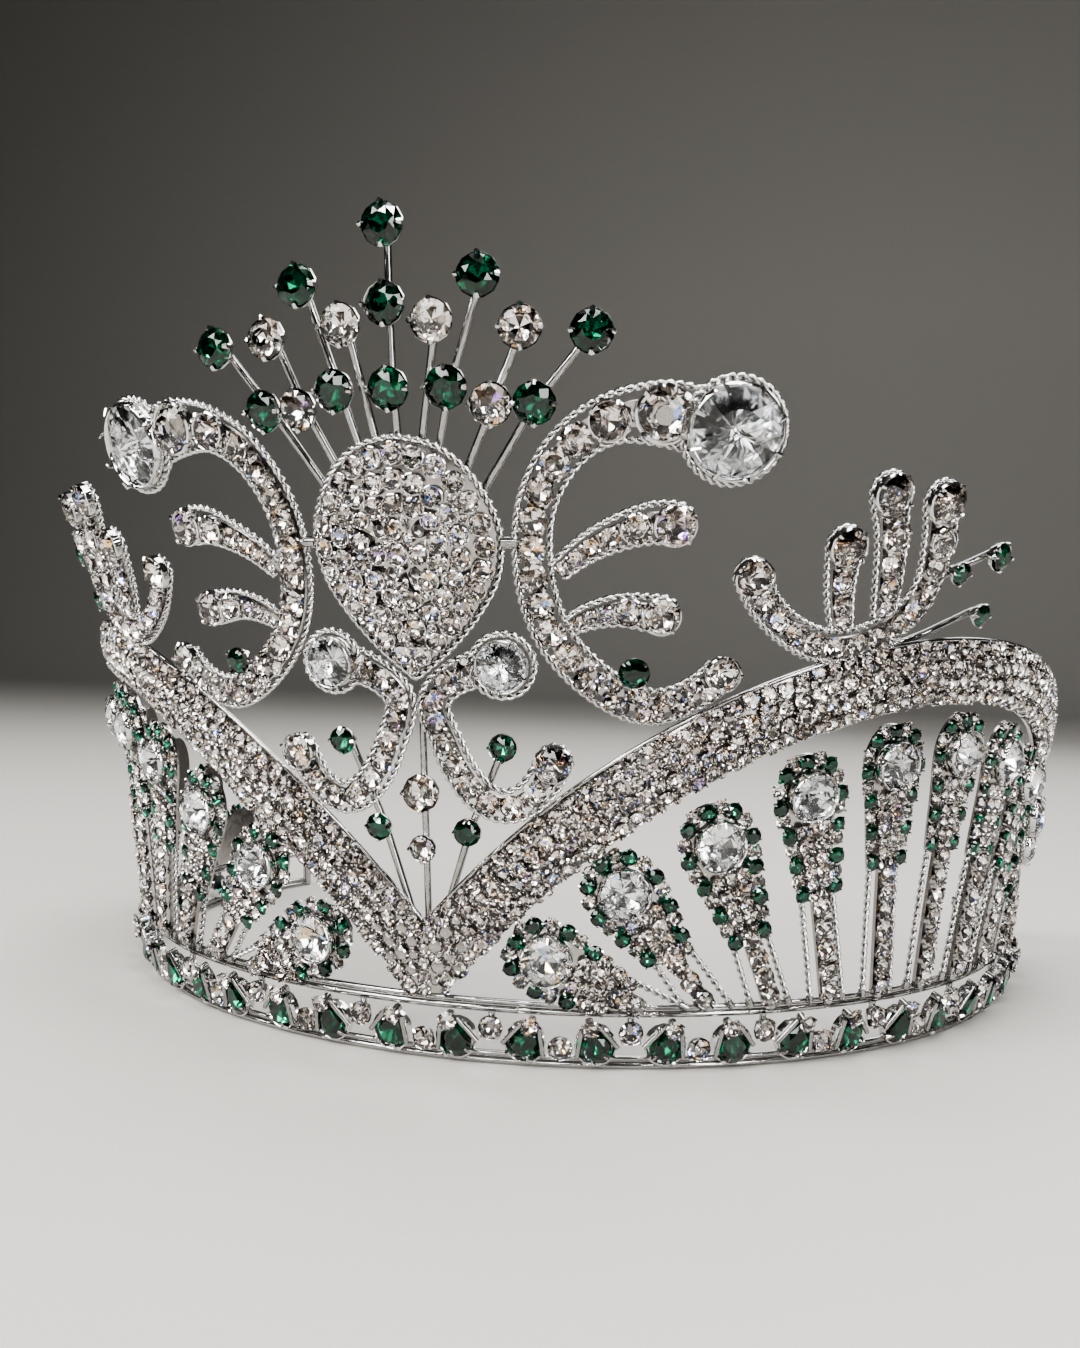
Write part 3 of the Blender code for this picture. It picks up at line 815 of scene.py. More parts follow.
class Bench:
    """Collects the stones, wires and plates of one sub-assembly and makes its pieces."""

    masters: dict[Enum, bpy.types.Object] = {}
    trees: dict[str, bpy.types.NodeTree] = {}
    stone_shapes = (
        StoneShape(Cut.BRILLIANT, table=0.5, crown=0.38, pavilion=0.66),
        StoneShape(Cut.RIVOLI, table=0.0, crown=0.34, pavilion=0.5),
        StoneShape(Cut.DROP, table=0.6, crown=0.36, pavilion=0.5))
    mount_shapes = (
        MountShape(Mount.PRONGS, 4, (0.98, -0.35), 0.15),
        MountShape(Mount.BASKET, 4, (0.80, -0.8), 0.15,
                   ((0.96, -0.16), (1.06, -0.10), (1.06, -0.26), (0.62, -0.86), (0.50, -0.86)), 12),
        MountShape(Mount.BEZEL, 8, (0.98, -0.25), 0.05,
                   ((0.98, 0.05), (1.02, 0.08), (1.07, 0.02), (1.08, -0.30), (0.98, -0.50), (0.90, -0.4)), 24),
        MountShape(Mount.COLLET, 4, (0.98, -0.3), 0.13,
                   ((0.94, 0.02), (1.0, 0.07), (1.08, 0.02), (1.05, -0.35), (0.7, -0.5)), 16))
    stone_unevenness = 0.16
    mount_unevenness = 0.02
    strand_radius = 0.00028
    strand_pitch = 0.0025

    def __init__(self, name: str, finishes: Finishes) -> None:
        """Start an empty bench.

        Args:
            name: Name of the sub-assembly.
            finishes: The crown's materials.
        """
        self.name = name
        self.finishes = finishes
        self.stones: dict[tuple[Cut, Tone], list[StoneMark]] = {}
        self.mounts: dict[Mount, list[StoneMark]] = {}
        self.twisted: list[list[Vector]] = []
        self.rods: dict[float, list[list[Vector]]] = {}
        self.plates: list[bpy.types.Object] = []
        if not Bench.masters:
            for shape in Bench.stone_shapes:
                Bench.masters[shape.cut] = shape.make()
            for shape in Bench.mount_shapes:
                Bench.masters[shape.mount] = shape.make()
            Bench.trees = {"set": setting_tree(), "wire": wire_tree()}

    def stone(self, point: Vector, facing: Vector, along: Vector, radius: float, tone: Tone = Tone.CLEAR,
              cut: Cut = Cut.BRILLIANT, mount: Optional[Mount] = Mount.PRONGS) -> None:
        """Mark one stone and its mount.

        Args:
            point: Centre of the girdle, in metres.
            facing: Outward direction.
            along: Direction of the stone's first corner.
            radius: Radius in metres.
            tone: Colour of the stone.
            cut: Its cut.
            mount: Its mount, or None.
        """
        mark = StoneMark(point, facing, along, radius)
        self.stones.setdefault((cut, tone), []).append(mark)
        if mount is not None:
            self.mounts.setdefault(mount, []).append(mark)

    def plate(self, bm: bmesh.types.BMesh) -> None:
        """Add a metal mesh with the darker plate finish, which paints shade into the recesses between stones."""
        self.plates.append(to_object("plate", bm, self.finishes.painted_shade))

    def pierce(self, holes: Sequence[bmesh.types.BMesh]) -> None:
        """Cut closed meshes out of the last plate."""
        plate = self.plates[-1]
        cutters = [to_object("hole", hole, self.finishes.painted_shade) for hole in holes]
        for cutter in cutters:
            modifier = plate.modifiers.new("hole", "BOOLEAN")
            modifier.operation = "DIFFERENCE"
            modifier.solver = "EXACT"
            modifier.object = cutter
        mesh = solid_mesh(plate)
        plate.modifiers.clear()
        plate.data = mesh
        for cutter in cutters:
            bpy.data.objects.remove(cutter, do_unlink=True)

    def twist(self, points: list[Vector]) -> None:
        """Add a line of twisted wire."""
        self.twisted.append(points)

    def rod(self, points: list[Vector], radius: float) -> None:
        """Add a line of plain wire of that radius in metres."""
        self.rods.setdefault(radius, []).append(points)

    def set_shape(self, marks: Sequence[StoneMark], master: Enum, front: bpy.types.Material,
                  back: bpy.types.Material, unevenness: float) -> bpy.types.Object:
        """Set a master shape on every mark."""
        mesh = bpy.data.meshes.new("points")
        mesh.from_pydata([mark.point for mark in marks], [], [])
        for label in ("facing", "along"):
            layer = mesh.attributes.new(label, "FLOAT_VECTOR", "POINT")
            layer.data.foreach_set("vector", [c for mark in marks for c in getattr(mark, label)])
        size = mesh.attributes.new("size", "FLOAT", "POINT")
        size.data.foreach_set("value", [mark.size for mark in marks])
        return run_tree("set", linked("points", mesh), Bench.trees["set"], {
            "Shape": Bench.masters[master], "Unevenness": unevenness, "Seed": len(marks), "Front": front,
            "Back": back})

    def wire(self, strands: Sequence[Sequence[Vector]], radius: float, twisted: bool) -> bpy.types.Object:
        """Draw wire on lines of points."""
        curve = bpy.data.curves.new("lines", "CURVE")
        curve.dimensions = "3D"
        for points in strands:
            spline = curve.splines.new("POLY")
            spline.points.add(len(points) - 1)
            for target, point in zip(spline.points, points):
                target.co = (*point, 1.0)
        values = {"Strand radius": radius, "Strand offset": 0.0, "Twist": 0.0, "Spacing": 0.0015, "Sides": 8,
                  "Finish": self.finishes.metal}
        if twisted:
            values.update({"Strand offset": radius * 0.9, "Twist": math.tau / self.strand_pitch,
                           "Spacing": 0.00032, "Sides": 6})
        return run_tree("wire", linked("lines", curve), Bench.trees["wire"], values)

    def cut_stones(self, tone: Tone) -> list[bpy.types.Object]:
        """Make the stones of one colour."""
        return [self.set_shape(marks, cut, self.finishes.crowns[tone], self.finishes.foils[tone],
                               self.stone_unevenness)
                for (cut, colour), marks in self.stones.items() if colour is tone]

    def finish(self, nodes: Sequence[str]) -> list[bpy.types.Object]:
        """Make the pieces, ride them on the frame and hide the solids that they stand for.

        Args:
            nodes: The solids that this sub-assembly replaces.

        Returns:
            The pieces.
        """
        metal = list(self.plates)
        for mount, marks in self.mounts.items():
            metal.append(self.set_shape(marks, mount, self.finishes.metal, self.finishes.metal,
                                        self.mount_unevenness))
        if self.twisted:
            metal.append(self.wire(self.twisted, self.strand_radius, True))
        for radius, strands in self.rods.items():
            metal.append(self.wire(strands, radius, False))
        pieces = []
        clear = self.cut_stones(Tone.CLEAR) + self.cut_stones(Tone.ICE)
        for label, objects, slot in (("metal", metal, METAL_SLOT), ("clear", clear, CLEAR_SLOT),
                                     ("green", self.cut_stones(Tone.GREEN), GREEN_SLOT)):
            piece = join_objects(f"{self.name}_{label}", objects)
            if piece is None:
                continue
            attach(piece, "root")
            pieces.append(piece)
            LOG.info("%s: %d faces", piece.name, len(piece.data.polygons))
        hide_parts(*nodes)
        return pieces


# Sub-assemblies


@dataclass
class Gallery:
    """The base: two double rails with leaning green drops and small clear stones between them.

    Attributes:
        rails: Height and radius of each hoop.
        smalls: Height and post length of the small stones on even and odd places.
    """

    half_turn: float = 113.0
    rails: tuple[Pair, ...] = ((0.5, 0.5), (1.45, 0.42), (7.6, 0.5), (8.6, 0.45))
    hoop_radius: float = 80.6
    drop_step: float = 6.75
    drops_per_side: int = 16
    drop_height: float = 3.75
    drop_radius: float = 2.75
    small_radius: float = 1.65
    smalls: tuple[Pair, Pair] = ((3.1, -1.9), (5.5, 2.2))
    cap_radius: float = 1.3
    lean: float = 16.0

    def hoop(self, wall: Wall, height: float) -> list[Vector]:
        """Return the points of an open hoop at a height in millimetres."""
        angles = [math.radians(self.half_turn * (i / 75.0 - 1.0)) for i in range(151)]
        return [Vector((math.sin(a) * self.hoop_radius, wall.axis_y - math.cos(a) * self.hoop_radius, height)) * MM
                for a in angles]

    def build(self, wall: Wall, finishes: Finishes) -> list[bpy.types.Object]:
        """Build the gallery's pieces."""
        bench = Bench("gallery", finishes)
        for height, radius in self.rails:
            bench.rod(self.hoop(wall, height), radius * MM)
        for sign in SIDES.values():
            foot, head = (wall.frame(sign * (self.half_turn - 0.4), self.rails[i][0]) for i in (0, -1))
            bench.rod([foot.off(0.6), head.off(0.1)], 0.0009)
            for i in range(self.drops_per_side):
                self.drop(bench, wall, sign, i)
        for i in range(-self.drops_per_side, self.drops_per_side + 1):
            height, post = self.smalls[i % 2]
            place = wall.frame(i * self.drop_step, height)
            bench.stone(place.off(1.6), place.normal, place.east, self.small_radius * MM, mount=Mount.BASKET)
            bench.rod([place.off(0.4), place.off(0.4) + place.up * post * MM], 0.0005)
        return bench.finish(["gallery"])

    def drop(self, bench: Bench, wall: Wall, sign: float, index: int) -> None:
        """Set one green drop with its collet, the two arms over it and its cap stone."""
        lean = math.radians(-self.lean if index % 2 == 0 else self.lean) * sign
        place = wall.frame(sign * self.drop_step * (index + 0.5), self.drop_height)
        normal = place.normal
        along = place.east * math.sin(lean) + place.up * math.cos(lean)
        across = along.cross(normal)
        centre = place.off(1.4)
        bench.stone(centre, normal, across, self.drop_radius * MM, Tone.GREEN, Cut.DROP, Mount.COLLET)
        tip = centre + along * 0.0030 + normal * 0.0017
        bench.stone(tip, normal, across, self.cap_radius * MM)
        bench.rod([tip - normal * 0.0010, centre + along * 0.0034 - normal * 0.0006], 0.0006)
        for arm in (-across, across):
            bench.rod([centre + arm * 0.0029 - along * 0.0010 + normal * 0.0003,
                       tip + arm * 0.0012 - normal * 0.0008], 0.00036)
            bench.rod([centre + arm * 0.0011 - along * 0.0024,
                       centre + arm * 0.0009 - along * 0.0015 + normal * 0.0008], 0.00022)


@dataclass
class Ribbon:
    """The pavé band that rises from the front notch over one side and falls behind.

    Attributes:
        filler_radii: Sizes of the stones that close the gaps between the rows, from large to small.
        column: Radius of the stones in the notch, height of the lowest, and the step between them.
        flat_end: Length at each end over which the band's dome rises, in metres.
        lean: How far the outer stones face sideways.
        rail_top: Height at which the band is cut off above the upper rail.
    """

    arch_top: float = 54.4
    foot_height: float = 12.4
    rise: float = 43.7
    power: float = 2.1
    half_width: float = 4.85
    notch_half_width: float = 4.5
    swell_turn: float = 16.0
    section: tuple[Pair, ...] = (
        (-0.9, -0.9), (0.9, -0.9), (0.92, -0.3), (0.5, 0.5), (-0.5, 0.5), (-0.92, -0.3))
    rows: int = 4
    stone_radius: float = 1.2
    filler_radii: tuple[float, ...] = (0.85, 0.65, 0.5)
    column: Triple = (0.95, 9.7, 1.9)
    flat_end: float = 0.014
    lean: float = 0.62
    rail_top: float = 9.2

    def track(self, wall: Wall, side: float, start: float = 0.0) -> Track:
        """Return the ribbon's middle line."""
        rows = []
        for i in range(41):
            turn = start + (2 * self.arch_top + 1.0 - start) * i / 40
            swell = min(1.0, min(abs(turn), abs(2 * self.arch_top - turn)) / self.swell_turn)
            across = abs(1.0 - turn / self.arch_top)
            rows.append((turn, self.foot_height + self.rise * (1.0 - across ** self.power),
                         self.notch_half_width + (self.half_width - self.notch_half_width) * swell))
        return Track(wall, rows, side, steps=3)

    def build(self, wall: Wall, finishes: Finishes, label: str) -> list[bpy.types.Object]:
        """Build one side's ribbon."""
        side = SIDES[label]
        bench = Bench(f"ribbon_{label}", finishes)
        track = self.track(wall, side)
        bench.plate(self.cut_notch(sweep(self.track(wall, side, -1.6), self.section, stride=3), side))
        radius, lowest, step = self.column
        column = [wall.frame(0.0, lowest + step * i) for i in range(4)]
        if side > 0.0:
            for place in column:
                bench.stone(place.off(0.9), place.normal, place.east, radius * MM)
        placed = self.lay_rows(bench, track, side)
        for size in self.filler_radii:
            self.close_gaps(bench, track, side, placed, [place.off(0.9) for place in column], size * MM)
        line = [p for p in track.edge(-side, 0.0001, 0.0) if p.x * side > 0.0002 and p.z > 0.0095]
        bench.rod(line, 0.00036)
        return bench.finish([f"ribbon_{label}"])

    def lay_rows(self, bench: Bench, track: Track, side: float) -> Laid:
        """Set the rows of main stones and return where they lie on the band."""
        dice = random.Random(7)
        pitch = self.stone_radius * 2.02 * MM
        placed = []
        for row in range(self.rows):
            share = (row - (self.rows - 1) / 2) / (self.rows / 2)
            distance = pitch * (0.5 * (row % 2) - 3.0)
            while distance < track.length + 0.004:
                station = track.at(distance)
                spread = share + dice.uniform(-0.08, 0.08)
                point, facing = self.seat(track, distance, spread, dice.uniform(-0.15, 0.15) * MM)
                swell = (station.half / MM / self.half_width) ** 0.5
                size = self.stone_radius * (0.93 + 0.14 * dice.random()) * swell * MM
                if point.x * side > 0.0011 and point.z > 0.0096:
                    placed.append((Vector((distance, spread * station.half)), size))
                    bench.stone(point, facing, station.ahead, size)
                distance += pitch * dice.uniform(0.93, 1.07)
        return placed

    def seat(self, track: Track, distance: float, spread: float, lift: float = 0.0) -> tuple[Vector, Vector]:
        """Return the point and facing of a stone on the band, which is flat at its ends and domed between."""
        station = track.at(distance)
        bulge = max(0.0, min(1.0, distance / self.flat_end, (track.length - distance) / self.flat_end))
        facing = (station.normal + station.side * spread * self.lean * bulge).normalized()
        out = (0.6 + (0.9 - 1.1 * spread ** 2) * bulge) * MM + lift
        return station.shifted(spread * (station.half - 0.1 * MM), out), facing

    def close_gaps(self, bench: Bench, track: Track, side: float, placed: Laid, column: Sequence[Vector],
                   size: float) -> None:
        """Lay stones of one size wherever they still fit between the rows."""
        step = 0.3 * MM
        for i in range(int(track.length / step)):
            station = track.at(i * step)
            near = [mark for mark in placed if abs(mark[0].x - i * step) < 2.4 * MM]
            for j in range(-20, 21):
                spot = Vector((i * step, j * step))
                if (abs(spot.y) > station.half - 0.4 * size
                        or any((spot - other).length < size + radius - 0.16 * MM for other, radius in near)):
                    continue
                point, facing = self.seat(track, spot.x, spot.y / station.half)
                if (point.x * side < size or point.z < self.rail_top * MM + 0.5 * size
                        or any((point - other).length < size + 0.80 * MM for other in column)):
                    continue
                placed.append((spot, size))
                near.append((spot, size))
                bench.stone(point, facing, station.ahead, size, mount=None)

    def cut_notch(self, bm: bmesh.types.BMesh, side: float) -> bmesh.types.BMesh:
        """Cut the band at the middle plane and above the upper wire, and close the cuts."""
        for point, normal in (((side * 0.00015, 0.0, 0.0), (-side, 0.0, 0.0)),
                              ((0.0, 0.0, self.rail_top * MM), (0.0, 0.0, -1.0))):
            cut = bmesh.ops.bisect_plane(bm, geom=bm.verts[:] + bm.edges[:] + bm.faces[:], dist=1e-7,
                                         plane_co=point, plane_no=normal, clear_outer=True)
            edges = [item for item in cut["geom_cut"] if isinstance(item, bmesh.types.BMEdge)]
            bmesh.ops.holes_fill(bm, edges=edges)
        bmesh.ops.recalc_face_normals(bm, faces=bm.faces)
        return bm


@dataclass(frozen=True)
class TorchRow:
    """Place of one torch: turn and height of its big stone, turn of its foot, head length below the stone."""

    turn: float
    height: float
    foot: float
    head: float
    greens: int = 8

    def behind(self, centre: float) -> "TorchRow":
        """Return the matching torch on the far side of the arch."""
        return TorchRow(2 * centre - self.turn, self.height, 2 * centre - self.foot, self.head, self.greens)


@dataclass
class Torches:
    """The fanned torches of one side."""

    rows: tuple[TorchRow, ...] = (
        TorchRow(12.0, 15.4, 21.15, 11.6, 3),
        TorchRow(19.0, 25.0, 27.8, 11.5),
        TorchRow(27.6, 31.8, 34.45, 14.0),
        TorchRow(36.2, 38.6, 41.1, 15.5),
        TorchRow(45.2, 42.8, 47.75, 15.5),
        TorchRow(54.4, 44.4, 54.4, 15.0),
    )
    arch_top: float = 54.4
    head_radius: float = 5.6
    head_section: tuple[Pair, ...] = (
        (-0.8, -0.6), (0.8, -0.6), (0.82, -0.2), (0.55, 0.1), (-0.55, 0.1), (-0.82, -0.2))
    stem_section: tuple[Pair, ...] = ((-0.7, -0.2), (0.7, -0.2), (0.7, 0.4), (-0.7, 0.4))
    stone_radius: float = 3.4
    foot_height: float = 8.9
    green_radius: float = 1.22
    clear_radius: float = 1.12
    stem_radius: float = 1.5
    wire_foot: float = 2.75

    def build(self, wall: Wall, finishes: Finishes, label: str) -> list[bpy.types.Object]:
        """Build one side's torches."""
        bench = Bench(f"torches_{label}", finishes)
        rows = [*self.rows, *(row.behind(self.arch_top) for row in reversed(self.rows[:-1]))]
        for row in rows:
            self.torch(bench, wall, SIDES[label], row)
        return bench.finish([f"torch_{label}_{i:02d}" for i in range(1, len(rows) + 1)])

    def torch(self, bench: Bench, wall: Wall, side: float, row: TorchRow) -> None:
        """Build one torch on the bench."""
        foot, head = Vector((row.foot, self.foot_height)), Vector((row.turn, row.height))
        scale = Vector((math.radians(1.0) * wall.radius(head.y * 0.6), 1.0))
        length = ((head - foot) * scale).length
        per_mm = (head - foot) / length
        radius = self.head_radius
        profile = ((-row.head, 3.1), (1.2 - row.head, 3.5), (-6.0, 4.6), (-2.0, 5.5), (1.0, radius),
                   (3.4, 0.8 * radius), (4.9, 0.5 * radius), (radius, 0.2 * radius))
        head_track = Track(wall, [(*(head + per_mm * d), half) for d, half in profile], side)
        stops = (-length, -length / 2 - row.head / 2, 1.0 - row.head)
        stem_track = Track(wall, [(*(head + per_mm * d), self.stem_radius) for d in stops], side)
        bench.plate(sweep(head_track, self.head_section))
        bench.plate(sweep(stem_track, self.stem_section))
        place = wall.frame(row.turn * side, row.height)
        across = head_track.at(head_track.length * 0.5).ahead.cross(place.normal)
        bench.stone(place.off(2.2), place.normal, across, self.stone_radius * MM, Tone.ICE, mount=Mount.BEZEL)
        self.border(bench, head_track, row.greens)
        self.taper(bench, head_track, row)
        self.stem(bench, stem_track)

    def border(self, bench: Bench, track: Track, greens: int) -> None:
        """Set alternating green and clear stones round the head's edge, with a green one on top."""
        inset = 0.9 * MM
        middle = track.at(track.length / 2)
        top = track.at(track.length).point
        for sign in (1.0, -1.0):
            line = [top - middle.ahead * inset, *track.edge(sign, inset, 0.0, 0.0004)[::-1]]
            travelled, target, count, last = 0.0, 0.0, 0, line[0]
            for point in line:
                travelled += (point - last).length
                last = point
                if travelled < target:
                    continue
                if count or sign > 0.0:
                    green = count % 2 == 0 and count <= 2 * greens
                    radius, tone, lift = ((self.green_radius, Tone.GREEN, 0.9) if green
                                          else (self.clear_radius, Tone.CLEAR, 0.6))
                    bench.stone(point + middle.normal * lift * MM, middle.normal, middle.ahead, radius * MM,
                                tone)
                target += (self.green_radius + self.clear_radius) * 0.98 * MM
                count += 1

    def taper(self, bench: Bench, track: Track, row: TorchRow) -> None:
        """Set the clear stones of the head below its big stone."""
        distance = 0.9 * MM
        stop = (row.head - self.stone_radius - 0.9) * MM
        while distance < stop:
            station = track.at(distance)
            room = station.half - 2.0 * MM
            columns = 1 if room < 1.25 * MM else 2 if room < 2.5 * MM else 3
            size = max(0.95 * MM, min(1.3 * MM, 1.02 * room / columns))
            for k in range(columns):
                sideways = (k - (columns - 1) / 2) * 1.96 * size
                bench.stone(station.shifted(sideways, 0.001), station.normal, station.ahead, size)
            distance += 1.9 * size

    def stem(self, bench: Bench, track: Track) -> None:
        """Set the stem's column of stones and its two twisted side wires."""
        count = max(2, round(track.length / (2.0 * self.stem_radius * MM)))
        for i in range(count):
            station = track.at(track.length * (i + 0.5) / count)
            bench.stone(station.shifted(0.0, 0.0014), station.normal, station.ahead, self.stem_radius * MM)
        foot = track.at(0.0)
        for sign in (1.0, -1.0):
            corner = foot.shifted(sign * self.wire_foot * MM, 0.0)
            start = (self.foot_height * MM - corner.z) / foot.ahead.z
            if start > track.length - 0.5 * MM:
                continue
            points = []
            for i in range(13):
                station = track.at(start + (track.length + 0.8 * MM - start) * i / 12)
                points.append(station.shifted(sign * (self.wire_foot - 0.2 * i / 12) * MM, 0.0))
            bench.twist(points)
            bench.rod([points[0] - foot.ahead * 0.0005, points[0] + foot.ahead * 0.0007], 0.00055)
        base = foot.shifted(0.0, 0.0004)
        bench.rod([base - foot.ahead * 0.0006, base + foot.ahead * 0.0012], 0.0007)


@dataclass
class Pear:
    """The domed pear plaque with rings of stones inside a twisted border.

    Attributes:
        half_outline: Sideways reach and height down one side.
        dome: Distance inside the outline, and the dome's height there.
        rings: Sizes of the plate's rings against the outline.
        insets: Distance of each ring of stones inside the outline.
        gap_radii: Sizes of the stones that close the gaps, from large to small.
        piercings: Sideways place and height of each hole.
        middle: Sideways place, height and radius of the stones round the holes.
    """

    half_outline: tuple[Pair, ...] = (
        (0.0, 83.6), (5.6, 82.2), (10.2, 78.2), (12.8, 72.4), (12.2, 66.6), (9.2, 61.6), (5.0, 57.0), (0.0, 53.0))
    centre_height: float = 70.5
    dome: tuple[Pair, ...] = ((0.0, -0.1), (2.0, 0.7), (5.0, 1.6), (9.0, 2.1), (20.0, 2.3))
    rings: tuple[float, ...] = (0.97, 0.8, 0.55, 0.2)
    insets: tuple[float, ...] = (1.85, 4.8, 7.75)
    stone_radius: float = 1.4
    gap_radii: tuple[float, ...] = (1.35, 1.05, 0.8, 0.6)
    piercings: tuple[Pair, ...] = ((-2.6, 72.4), (2.6, 72.4), (-1.6, 67.0), (1.6, 67.0))
    hole_radius: float = 0.9
    middle: tuple[Triple, ...] = (
        (0.0, 72.7, 1.4), (0.0, 69.8, 1.4), (-2.8, 69.7, 1.3), (2.8, 69.7, 1.3), (0.0, 66.0, 1.0))

    def outline(self) -> list[Vector]:
        """Return the outline, sideways and height in millimetres."""
        rows = smooth_rows(self.half_outline, 6)
        return [Vector(row) for row in rows] + [Vector((-x, y)) for x, y in reversed(rows[1:-1])]

    def rise(self, inset: float) -> float:
        """Return the dome's height at a distance inside the outline, both in millimetres."""
        for (outer, low), (inner, high) in zip(self.dome, self.dome[1:]):
            if inset <= inner:
                return low + (high - low) * (inset - outer) / (inner - outer)
        return self.dome[-1][1]

    def place(self, wall: Wall, spot: Vector) -> Place:
        """Return the place on the wall behind a spot of the plaque."""
        return wall.frame(math.degrees(spot.x / wall.radius(spot.y)), spot.y)

    def inside(self, outline: Sequence[Vector], inset: float) -> list[Vector]:
        """Return the line that runs inside the outline at a distance, as far as it exists."""
        line = []
        for i, spot in enumerate(outline):
            along = (outline[(i + 1) % len(outline)] - outline[i - 1]).normalized()
            moved = spot + Vector((along.y, -along.x)) * inset
            if min((moved - other).length for other in outline) > inset - 0.25:
                line.append(moved)
        return line

    def build(self, wall: Wall, finishes: Finishes) -> list[bpy.types.Object]:
        """Build the plaque."""
        bench = Bench("pear_plaque", finishes)
        outline = self.outline()
        centre = Vector((0.0, self.centre_height))
        rings = [(scale, -0.9) for scale in reversed(self.rings)]
        rings += [(scale, self.rise(12.8 * (1.0 - scale)) - 0.5) for scale in self.rings]
        bench.plate(skin_rings([[self.place(wall, centre.lerp(spot, scale)).off(out) for spot in outline]
                                for scale, out in rings]))
        bench.pierce([self.hole(wall, Vector(spot)) for spot in self.piercings])
        border = [self.place(wall, spot).off(-0.1) for spot in outline]
        bench.twist([*border, border[0]])
        placed = [(Vector((x, height)), radius) for x, height, radius in self.middle]
        for inset in self.insets:
            self.ring(placed, outline, inset)
        for radius in self.gap_radii:
            self.close_gaps(placed, outline, radius)
        for spot, radius in placed:
            inset = min((spot - other).length for other in outline)
            place = self.place(wall, spot)
            away = (place.east * spot.x + place.up * (spot.y - self.centre_height)) * 0.021
            facing = (place.normal + away).normalized()
            along = facing.cross(Vector((0.0, 0.0, 1.0))).normalized()
            bench.stone(place.off(self.rise(inset) + 0.55), facing, along, radius * MM, mount=Mount.COLLET)
        return bench.finish(["pear_plaque"])

    def hole(self, wall: Wall, spot: Vector) -> bmesh.types.BMesh:
        """Return the cutter of one piercing."""
        place = self.place(wall, spot)
        return skin_rings([place.circle(self.hole_radius, out, 12)[:-1] for out in (-3.0, 6.0)])

    def free(self, placed: Laid, spot: Vector, radius: float) -> bool:
        """Return whether a stone fits at a spot beside the others and the piercings."""
        return (all((spot - other).length > radius + size - 0.12 for other, size in placed)
                and all((spot - Vector(hole)).length > radius * 0.85 + self.hole_radius
                        for hole in self.piercings))

    def ring(self, placed: Laid, outline: Sequence[Vector], inset: float) -> None:
        """Lay one ring of stones that follows the outline."""
        line = self.inside(outline, inset)
        closed = [*line, line[0]]
        total = sum((a - b).length for a, b in zip(closed, closed[1:]))
        spacing = total / max(3, round(total / (self.stone_radius * 2.06)))
        size = min(self.stone_radius, spacing * 0.485)
        travelled, target = 0.0, 0.0
        for start, end in zip(closed, closed[1:]):
            span = (end - start).length
            while target < travelled + span - 1e-9 and target < total - 1e-6:
                spot = start.lerp(end, (target - travelled) / span)
                if self.free(placed, spot, size * 0.9):
                    placed.append((spot, size))
                target += spacing
            travelled += span

    def close_gaps(self, placed: Laid, outline: Sequence[Vector], radius: float) -> None:
        """Lay stones of one size wherever they still fit."""
        step = 0.3
        for row in range(int(30.0 / step)):
            height = outline[0].y - 1.0 - row * step
            half = max((spot.x for spot in outline if abs(spot.y - height) < 1.0), default=0.0)
            for column in range(int(half / step)):
                for x in {column * step, -column * step}:
                    spot = Vector((x, height))
                    edge = min((spot - other).length for other in outline)
                    if edge > radius + 0.25 and self.free(placed, spot, radius):
                        placed.append((spot, radius))


